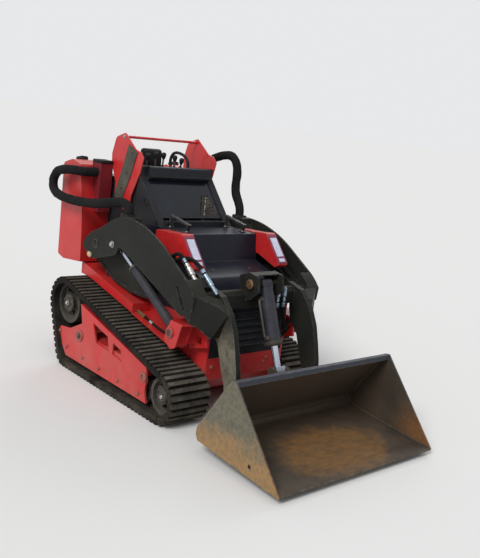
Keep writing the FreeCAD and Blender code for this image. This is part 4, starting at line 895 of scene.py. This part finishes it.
CLAMP_MIDDLE = -323.7
CLAMP_OUTLINE = ((952, 700), (999, 667), (1024, 706), (977, 744))
upper = coupler("coupler_upper", spot(868, 794, -349), spot(972, 712, -349), 17)
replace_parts(hand_on(upper, "arms", "zinc"), "couplers")
lower = coupler("coupler_lower", spot(966, 760, -305), spot(1080, 681, -305), 13)
hand_on(lower, "arms", "blue_zinc")
clamp = cut_plate("coupler_clamp", CLAMP_OUTLINE, 62, CLAMP_MIDDLE, 2)
hand_on(clamp, "arms", "arm_paint")
clamp_bolts = copies("clamp_bolts", bolt("clamp_bolt", 11), [
    (spot(964.5, 722, y), Vector((-25, 0, 44))) for y in (-343, -304)])
hand_on(clamp_bolts, "arms", "blue_zinc")

beam_front = seat("loader_arms", spot(1300, 640, 118), (-1, 0, 0))
foot_x = (beam_front.x - DATUM) / MM
front_couplers, coupler_feet = [], []
for y in (118, 164):
    front_couplers.append(coupler("front_coupler", spot(1076, 692, y), spot(1076, 610, y), 12.5))
    coupler_feet.append(block("coupler_foot", (foot_x - 1, y - 15, 630), (1078, y + 15, 650), 2))
hand_on(joined("front_couplers", *front_couplers), "arms", "blue_zinc")
hand_on(joined("coupler_feet", *coupler_feet), "arms", "arm_paint")

# %% [markdown]
# ## Hoses on the arms
# The hoses come out of the sleeves, lie in the tray of each arm and bend over
# its inner wall to the couplers. The left arm's hose goes down into the arm,
# and two more drop from the front couplers to the left leg. A hose is one
# smooth spline, and a short metal sleeve ends it.

# %% Hoses
HOSE = 9.5


def over(node, x, y, rise):
    """A point standing so many millimetres over what carries it at x and y."""
    return seat(node, spot(x, 1330, y), (0, 0, -1)) + Vector((0, 0, rise * MM))


TRAY_MIDDLE = 393
right_route = [spot(392, 962, -TRAY_MIDDLE), spot(420, 940, -TRAY_MIDDLE), over("loader_arms", 500, -391, HOSE),
               over("loader_arms", 600, -388, HOSE), over("loader_arms", 690, -384, HOSE + 1),
               over("loader_arms", 750, -378, HOSE + 16), spot(806, 834, -362), spot(838, 818, -349),
               spot(872, 791, -349)]
second_route = [spot(396, 958, -372), spot(430, 938, -372), over("loader_arms", 510, -370, HOSE + 1),
                over("loader_arms", 610, -369, HOSE + 1), over("loader_arms", 700, -368, HOSE + 6),
                over("loader_arms", 780, -366, HOSE + 30), spot(868, 826, -338), spot(930, 792, -306),
                spot(970, 757, -305)]
left_route = [spot(392, 962, TRAY_MIDDLE), spot(420, 940, TRAY_MIDDLE), over("loader_arms", 500, 391, HOSE),
              over("loader_arms", 600, 388, HOSE), over("loader_arms", 700, 386, HOSE + 1),
              over("loader_arms", 800, 384, HOSE + 1), over("loader_arms", 880, 380, HOSE - 6)]
for name, route in (("right", right_route), ("right_second", second_route), ("left", left_route)):
    hand_on(pipe("arm_hose_" + name, route, HOSE), "arms", "hose_rubber", 60)
drop_routes = (
    (spot(1076, 614, 164), spot(1076, 570, 168), spot(1077, 520, 180), spot(1072, 470, 192), spot(1056, 448, 216),
     spot(1042, 462, 244), spot(1038, 490, 264)),
    (spot(1076, 614, 118), spot(1077, 570, 120), spot(1079, 510, 128), spot(1074, 448, 150), spot(1058, 412, 190),
     spot(1044, 424, 236), spot(1038, 452, 264)),
)
for number, route in enumerate(drop_routes, start=1):
    hand_on(pipe("drop_hose_%d" % number, route, HOSE), "arms", "hose_rubber", 60)
crimps = copies("hose_crimps", turned("crimp", ((0, 9.6), (0, 12), (22, 12), (24, 11), (24, 9)), 20), [
    (spot(1076, 610, 164), (0, 0, -1)), (spot(1076, 610, 118), (0, 0, -1)),
    (spot(868, 794, -349), (-104, 0, 82)), (spot(966, 760, -305), (-114, 0, 79))])
hand_on(crimps, "arms", "blue_zinc")

# %% [markdown]
# Along the right shelf a thin supply hose runs forward from two brass
# fittings, held down close to the sheet over the track.

# %% Shelf hose
SHELF_LINE = -350
shelf = [over("track_shelves", x, SHELF_LINE, 9) for x in (500, 560, 620, 680)]
shelf_hose = pipe("shelf_hose", [shelf[1], shelf[2], shelf[3], over("track_shelves", 730, SHELF_LINE + 6, 9),
                                 over("track_shelves", 770, SHELF_LINE + 16, 8)], 7)
hand_on(shelf_hose, "frame", "hose_rubber", 60)
run = shelf[1] - shelf[0]
fitting = turned("fitting", ((0, 8), (0, 11), (14, 11), (14, 9), (22, 9), (22, 12), (36, 12), (38, 8)), 6)
fittings = copies("shelf_fittings", fitting, [(shelf[0], run), (shelf[0] + run * 0.55, run)])
hand_on(fittings, "frame", "brass")
collar = turned("collar", ((0, 7.5), (0, 9.5), (26, 9.5), (27, 7.5)), 20)
hand_on(copies("shelf_collar", collar, [(shelf[2], shelf[3] - shelf[2])]), "frame", "zinc")

# %% [markdown]
# ## Screen, hood and lamps
# A net of thin wire closes the cut-out of the screen. It starts as a flat
# grid whose corners are moved to the cut-out's, and a Wireframe modifier
# keeps only its edges, each with a thickness.

# %% Wire net in the screen
SCREEN_FOOT = (472, 905.3)
SCREEN_SLOPE = Vector((268 - 490, 1150 - 905.3)).normalized()
SCREEN_OUT = Vector((SCREEN_SLOPE.y, -SCREEN_SLOPE.x))
NET_CORNERS = ((62, 66), (229, 66), (208, 204), (137, 204))
NET_CELLS = 15
PANEL_SPOT = (-60, 150)
HALF_SHEET = 2.5


def on_screen(y, rise, off=0.0):
    """A point of the screen: across, up its slope, and off it towards the front."""
    place = Vector(SCREEN_FOOT) + SCREEN_SLOPE * rise + SCREEN_OUT * off
    return spot(place.x, place.y, y)


bpy.ops.object.select_all(action="DESELECT")
bpy.ops.mesh.primitive_grid_add(x_subdivisions=NET_CELLS, y_subdivisions=NET_CELLS - 2, size=1)
net = bpy.context.object
net.name = "screen_net"
toward_front = Vector((SCREEN_OUT.x, 0, SCREEN_OUT.y))
panel_face = seat("screen_panel", on_screen(*PANEL_SPOT, 600), -toward_front)
net_depth = (panel_face - on_screen(*PANEL_SPOT)).dot(toward_front) / MM - HALF_SHEET
for vertex in net.data.vertices:
    u, v = vertex.co.x + 0.5, vertex.co.y + 0.5
    low = Vector(NET_CORNERS[0]).lerp(Vector(NET_CORNERS[1]), u)
    high = Vector(NET_CORNERS[3]).lerp(Vector(NET_CORNERS[2]), u)
    y, rise = low.lerp(high, v)
    vertex.co = on_screen(y, rise, net_depth)
wires = net.modifiers.new("wires", "WIREFRAME")
wires.thickness = 0.0022
pick(net)
bpy.ops.object.modifier_apply(modifier=wires.name)
hand_on(net, "frame", "dark_bolt", 60)
print("net depth:", round(net_depth, 1))

# %% [markdown]
# The hood is held by small bolts near its corners, the grab bars stand on
# bolted feet, and a round vent sits in each side sheet of the screen.

# %% Hood bolts, handle feet and the vent rings
hood_places = [(over("hood", x, y, 0), (0, 0, 1)) for x in (300, 690) for y in (-236, 236)]
nose = [(over("hood", 820, y, 0), (0.29, 0, 0.96)) for y in (-130, 130)]
hand_on(copies("hood_bolts", bolt("hood_bolt", 11), hood_places + nose), "frame", "dark_bolt")
HOOD_TOP = 905.3
FOOT_TOP = 910
HALF_FOOT = 17
HANDLE_LINE = 195
feet, foot_bolts = [], []
for _, side in SIDES:
    for x in (506, 655):
        y = side * HANDLE_LINE
        feet.append(block("handle_foot", (x - HALF_FOOT, y - HALF_FOOT, HOOD_TOP),
                          (x + HALF_FOOT, y + HALF_FOOT, FOOT_TOP), 1.5))
        foot_bolts.append((spot(x + 11, FOOT_TOP, y - 11), (0, 0, 1)))
hand_on(joined("handle_feet", *feet), "frame", "handle_paint")
hand_on(copies("handle_bolts", bolt("handle_bolt", 7), foot_bolts), "frame", "zinc")
vent = turned("vent", ((-1, 24), (3, 24), (4, 22), (4, 17), (1, 16), (1, 6), (2, 5)), 28)
vent_places = [
    (seat("screen_frame", spot(342, 1018, side * 330), (0, -side, 0)), (0, side, 0)) for _, side in SIDES]
hand_on(copies("screen_vents", vent, vent_places), "frame", "plastic")

# %% [markdown]
# Each lamp pod's face round its lens lies in shade, so a thin moulding over it carries painted shade: a dark red
# with a purple tint of painted sky reflection. A small white reflector sits under it. The face is a grid of nine
# fields whose middle one is taken out for the lens and which Solidify then makes a thin moulding.

# %% Lamp faces of painted shade
POD_BROW = Vector((784, 921))
POD_CHIN = Vector((918, 768))
POD_MIDDLE = 290.3
FACE_ROWS = (0.05, 0.15, 0.75, 0.95)
FACE_COLUMNS = (-32.5, -23, 23, 32.5)
FACE_RISE = 0.4
MARKER_FIELD = ((0.80, 2), (0.90, 2), (0.90, 5.5), (0.80, 5.5))
pod_out = Vector((-(POD_CHIN - POD_BROW).y, (POD_CHIN - POD_BROW).x)).normalized()


def on_pod(share, across, rise, side):
    """A point on a pod's sloping face: a share down it, across it and off it."""
    place = POD_BROW.lerp(POD_CHIN, share) + pod_out * rise
    return spot(place.x, place.y, side * (POD_MIDDLE + across))


for name, side in SIDES:
    bpy.ops.object.select_all(action="DESELECT")
    bpy.ops.mesh.primitive_grid_add(x_subdivisions=3, y_subdivisions=3, size=2)
    shaded_face = bpy.context.object
    for vertex in shaded_face.data.vertices:
        column = round((vertex.co.x + 1) * 1.5)
        row = round((vertex.co.y + 1) * 1.5)
        vertex.co = on_pod(FACE_ROWS[row], FACE_COLUMNS[column], FACE_RISE, side)
    bpy.ops.object.mode_set(mode="EDIT")
    bpy.ops.mesh.select_all(action="DESELECT")
    bpy.ops.object.mode_set(mode="OBJECT")
    middle = on_pod(0.45, 0, FACE_RISE, side)
    for face in shaded_face.data.polygons:
        face.select = (face.center - middle).length < 0.01
    bpy.ops.object.mode_set(mode="EDIT")
    bpy.ops.mesh.delete(type="FACE")
    bpy.ops.mesh.select_all(action="SELECT")
    bpy.ops.mesh.normals_make_consistent(inside=False)
    bpy.ops.object.mode_set(mode="OBJECT")
    wall = shaded_face.modifiers.new("wall", "SOLIDIFY")
    wall.thickness = 0.006
    wall.offset = 0.0
    pick(shaded_face)
    bpy.ops.object.modifier_apply(modifier=wall.name)
    soften(shaded_face, 0.001)
    shaded_face.name = "lamp_shaded_face_" + name
    # The moulding's dark red is painted shade on the pod's face.
    hand_on(shaded_face, "frame", "lamp_shaded_red")
    corners = [on_pod(share, 0, rise, side) for share, rise in MARKER_FIELD]
    marker_outline = [((corner.x - DATUM) / MM, corner.z / MM) for corner in corners]
    marker = cut_plate("lamp_marker_" + name, marker_outline, 40, side * POD_MIDDLE, 1)
    hand_on(marker, "frame", "lamp")

# %% [markdown]
# ## Operator's place
# The levers are stalks with round knobs that come out of folded rubber
# boots. A boot is a turned part too: its radius swings in and out as it
# climbs. Each lever leans its own way, so a row in the list holds its foot,
# its height and its lean.

# %% Levers
CONSOLE_TOP = 1170.3
LEVERS = ((130, -130, 95, 12), (150, -80, 105, -4), (150, -30, 105, 6), (170, 40, 95, 0), (150, 100, 80, 8))
BOOT_STEPS = ((-1, 21), (3, 21), (6, 17), (10, 19), (14, 14), (18, 16), (22, 11), (26, 12.5), (31, 7), (34, 6))
boots, stalks, knobs = [], [], []
for x, y, height, lean in LEVERS:
    foot = spot(x, CONSOLE_TOP, y)
    run = spot(x + lean, CONSOLE_TOP + height, y) - foot
    boots.append(stand(turned("boot", BOOT_STEPS, 20), foot, (0, 0, 1)))
    stalks.append(stand(turned("stalk", ((20, 5), (height - 30, 5)), 12), foot, run))
    knob = turned("knob", ((height - 36, 7), (height - 30, 10), (height - 18, 13.5), (height - 8, 14.5),
                           (height - 2, 12), (height + 2, 7), (height + 3, 2)), 18)
    knobs.append(stand(knob, foot, run))
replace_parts(hand_on(joined("lever_boots", *boots), "frame", "hose_rubber", 50), "levers")
hand_on(joined("lever_stalks", *stalks), "frame", "dark_bolt")
hand_on(joined("lever_knobs", *knobs), "frame", "plastic", 50)

# %% [markdown]
# The gauge box is a moulded hood over two round dials that face the operator.
# The hand bar is one bent tube, so it is a pipe with its ends in the console,
# and it stands beside the box.

# %% Gauge box and hand bar
GAUGE_OUTLINE = ((62, 1160), (50, 1212), (66, 1282), (84, 1292), (104, 1280), (112, 1160))
gauge_box = cut_plate("gauge_box", GAUGE_OUTLINE, 128, -70, 7)
hand_on(gauge_box, "frame", "plastic")
back = Vector((-1, 0, 0.2))
gauge = turned("gauge", ((-4, 24), (3, 24), (5, 22), (5, 20), (2, 19)), 28)
hand_on(copies("gauge_rings", gauge, [(spot(60, 1250, y), back) for y in (-102, -40)]), "frame", "zinc")
BAR_LINE = 128
BAR_BENDS = ((52, 1140), (14, 1180), (6, 1232), (34, 1272), (90, 1278), (158, 1262), (188, 1226), (192, 1166))
hand_bar = pipe("hand_bar", [spot(x, z, BAR_LINE) for x, z in BAR_BENDS], 9)
hand_on(hand_bar, "frame", "plastic", 60)

# %% [markdown]
# A wide band of grip tape on a backing strip runs down the outer face of
# each guard, where a hand rests on the way in.

# %% Grip bands and guard fastenings
GRIP_BAND = ((142, 1310), (232, 1272), (207, 1200), (180, 1130), (141, 1050), (104, 968), (32, 1000), (52, 1060),
             (78, 1130), (110, 1215))
strip_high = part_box("guard_strips")[1]
BAND_THICK = 5
band_middle = strip_high[1] / MM - BAND_THICK / 2
for name, side in SIDES:
    band = cut_plate("grip_band_" + name, GRIP_BAND, BAND_THICK, side * band_middle, 1.5)
    hand_on(band, "frame", "grip_tape")
    if side < 0:
        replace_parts(band, "guard_strips")
strip_bolts, cap_nuts = [], []
for _, side in SIDES:
    outward = (0, side, 0)
    for x, z in ((190, 1268), (146, 1150), (102, 1060), (72, 996)):
        strip_bolts.append((spot(x, z, side * (band_middle + BAND_THICK / 2)), outward))
    cap_nuts.append((flank("guards", 88, 1346, side), outward))
hand_on(copies("strip_bolts", bolt("strip_bolt", 10), strip_bolts), "frame", "dark_bolt")
hand_on(copies("bar_nuts", bolt("bar_nut", 15), cap_nuts), "frame", "zinc")

# %% [markdown]
# The tanks are filled through black ribbed caps on their tops, and the box before the right tank, dark red with
# painted shade, wears a black cover.

# %% Caps and cover
CAP_STEPS = ((-6, 24), (2, 24), (2, 33), (5, 35), (20, 35), (24, 32), (24, 14), (28, 13), (29, 9))
TANK_MIDDLE = 334
cap_places = [
    (over(node, -232, side * TANK_MIDDLE, 0), (-0.25, 0, 1)) for node, side in (("fuel_tank", -1), ("oil_tank", 1))]
hand_on(copies("tank_caps", turned("tank_cap", CAP_STEPS, 16), cap_places), "frame", "plastic")
box_low, box_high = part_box("side_box")
cover = block("side_box_cover", ((box_low[0] - DATUM) / MM - 1, box_low[1] / MM - 2, 1176),
              ((box_high[0] - DATUM) / MM + 4, box_high[1] / MM, 1197), 5)
hand_on(cover, "frame", "plastic")
hull_places = [(seat("main_frame", spot(1500, z, y), (-1, 0, 0)), (1, 0, 0)) for y, z in (
    (151, 286), (133, 264), (-228, 278), (228, 278))]
hand_on(copies("hull_bolts", bolt("hull_bolt", 14), hull_places), "frame", "red_bolt")

# %% [markdown]
# ## Bucket and platform
# A bucket is plate and weld: a harder strip along the lip, beads of weld where the sides meet the folded back, and
# a hole in each side, which is too small for a solid of its own and is painted as a black dot of shade by the
# bucket's mask. The platform has pressed studs so that boots don't slip.

# %% Bucket details
BUCKET_INSIDE = 524.5
EDGE_OUTLINE = ((1782, 36), (1788, 41.5), (1858, 40), (1868, 34.6), (1868, 31), (1790, 31))
edge_strip = cut_plate("cutting_edge", EDGE_OUTLINE, 2 * BUCKET_INSIDE, 0, 1)
hand_on(edge_strip, "tool", "bucket_steel")
WELD_LINE = ((1850, 37), (1790, 39), (1560, 59), (1345, 78), (1320, 92), (1319, 126), (1410, 263), (1506, 404))
beads = []
for _, side in SIDES:
    beads.append(pipe("weld_bead", [spot(x, z, side * (BUCKET_INSIDE - 0.5)) for x, z in WELD_LINE], 5))
hand_on(joined("bucket_welds", *beads), "tool", "bucket_steel", 60)

# %% [markdown]
# The studs are one turned part in rows. Each stands where a line from above
# meets the deck, so they follow the deck if it is made thicker.

# %% Platform studs
stud = turned("stud", ((-1, 8), (2, 8), (3.2, 6.5), (3.2, 4), (2, 3.4)), 12)
stud_places = [(over("platform", x, y, 0), (0, 0, 1)) for x in (-450, -405, -360, -315, -270)
               for y in range(-225, 226, 50)]
hand_on(copies("platform_studs", stud, stud_places), "step", "black_paint")

# %% [markdown]
# ## Soft parts
# The hoses to the arms run in thick woven sleeves that hang a little lumpy.
# Each is one smooth spline from the frame to an arm, made a mesh and heaved by a cloud texture.

# %% Hose sleeves
SLEEVE_RADIUS = 27
ARM_MIDDLE = 395
ROUTES = {
    "right": (-1, 342.4, 483.7, (
        (-48, 1124, 0), (-48, 1124, .32), (-56, 1125, .63), (-88, 1127, .85), (-140, 1124, .97), (-200, 1116, 1),
        (-256, 1092, 1), (-286, 1052, 1), (-284, 1008, 1), (-252, 976, 1), (-190, 962, 1.02), (-90, 958, 1.06),
        (20, 960, 1.15), (130, 970, 1.31), (230, 988, 1.51), (310, 1008, 1.74), (366, 1010, 1.92), (392, 988, 2),
        (392, 958, 2))),
    "left": (1, 261.6, 395, (
        (76, 1200, 0), (76, 1200, .3), (104, 1232, .56), (146, 1268, .78), (205, 1294, .94), (268, 1294, 1),
        (312, 1262, 1), (330, 1210, 1), (326, 1140, 1), (334, 1080, 1.2), (366, 1034, 1.6), (392, 996, 2),
        (392, 958, 2))),
}
sleeve_lumps = bpy.data.textures.new("sleeve_lumps", "CLOUDS")
sleeve_lumps.noise_scale = 0.055
for name, (side, leaves, widest, route) in ROUTES.items():
    points = []
    for x, z, reach in route:
        if reach <= 1:
            y = leaves + reach * (widest - leaves)
        else:
            y = widest + (reach - 1) * (ARM_MIDDLE - widest)
        points.append(spot(x, z, side * y))
    sleeve = pipe("woven_sleeve_" + name, points, SLEEVE_RADIUS)
    heave = sleeve.modifiers.new("heave", "DISPLACE")
    heave.texture = sleeve_lumps
    heave.texture_coords = "LOCAL"
    heave.strength = 0.007
    heave.mid_level = 0.6
    pick(sleeve)
    bpy.ops.object.modifier_apply(modifier=heave.name)
    bpy.ops.object.shade_smooth_by_angle(angle=math.radians(70))
    sleeve.data.materials.clear()
    sleeve.data.materials.append(FINISHES["hose_rubber"])
    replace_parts(sleeve, "hose_sleeve_" + name)
    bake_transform(sleeve)
    print(sleeve.name, "faces:", len(sleeve.data.polygons))

# %% [markdown]
# The operator leans on a padded cushion. Its CAD block is remeshed finely
# and blown up a little as cloth under pressure, with its back kept flat on
# the body behind it.

# %% Thigh pad
PAD_BACK = spot(-215.6, 0).x
PAD_SWELL = 0.008
PAD_SHRINK = Vector((0.80, 0.965, 0.94))
CLOTH_STEPS = 20
cushion = bpy.data.objects.new("thigh_cushion", nodes["thigh_pad"].data.copy())
bpy.context.scene.collection.objects.link(cushion)
pick(cushion)
bpy.ops.object.mode_set(mode="EDIT")
bpy.ops.mesh.select_all(action="SELECT")
bpy.ops.mesh.remove_doubles(threshold=0.0001)
bpy.ops.mesh.normals_make_consistent(inside=False)
bpy.ops.object.mode_set(mode="OBJECT")
pad_low, pad_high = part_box("thigh_pad")
pad_middle = (Vector(pad_low) + Vector(pad_high)) / 2
for vertex in cushion.data.vertices:
    off = vertex.co - pad_middle
    vertex.co = pad_middle + off * PAD_SHRINK
fine = cushion.modifiers.new("fine", "REMESH")
fine.mode = "VOXEL"
fine.voxel_size = 0.006
pick(cushion)
bpy.ops.object.modifier_apply(modifier=fine.name)
before = [vertex.co.copy() for vertex in cushion.data.vertices]
cloth = cushion.modifiers.new("cloth", "CLOTH")
cloth.settings.use_pressure = True
cloth.settings.uniform_pressure_force = 4.0
cloth.settings.effector_weights.gravity = 0.0
cloth.point_cache.frame_start = 1
cloth.point_cache.frame_end = CLOTH_STEPS
for step in range(1, CLOTH_STEPS + 1):
    bpy.context.scene.frame_set(step)
pick(cushion)
bpy.ops.object.modifier_apply(modifier=cloth.name)
bpy.context.scene.frame_set(1)
for vertex, start in zip(cushion.data.vertices, before):
    move = vertex.co - start
    if move.length > PAD_SWELL:
        vertex.co = start + move.normalized() * PAD_SWELL
    vertex.co.x = min(vertex.co.x, PAD_BACK)
rounder = cushion.modifiers.new("rounder", "SUBSURF")
rounder.levels = rounder.render_levels = 1
pick(cushion)
bpy.ops.object.modifier_apply(modifier=rounder.name)
cushion.data.polygons.foreach_set("use_smooth", [True] * len(cushion.data.polygons))
cushion.data.materials.clear()
cushion.data.materials.append(FINISHES["pad_vinyl"])
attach(cushion, "frame")
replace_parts(cushion, "thigh_pad")
print("cushion faces:", len(cushion.data.polygons))
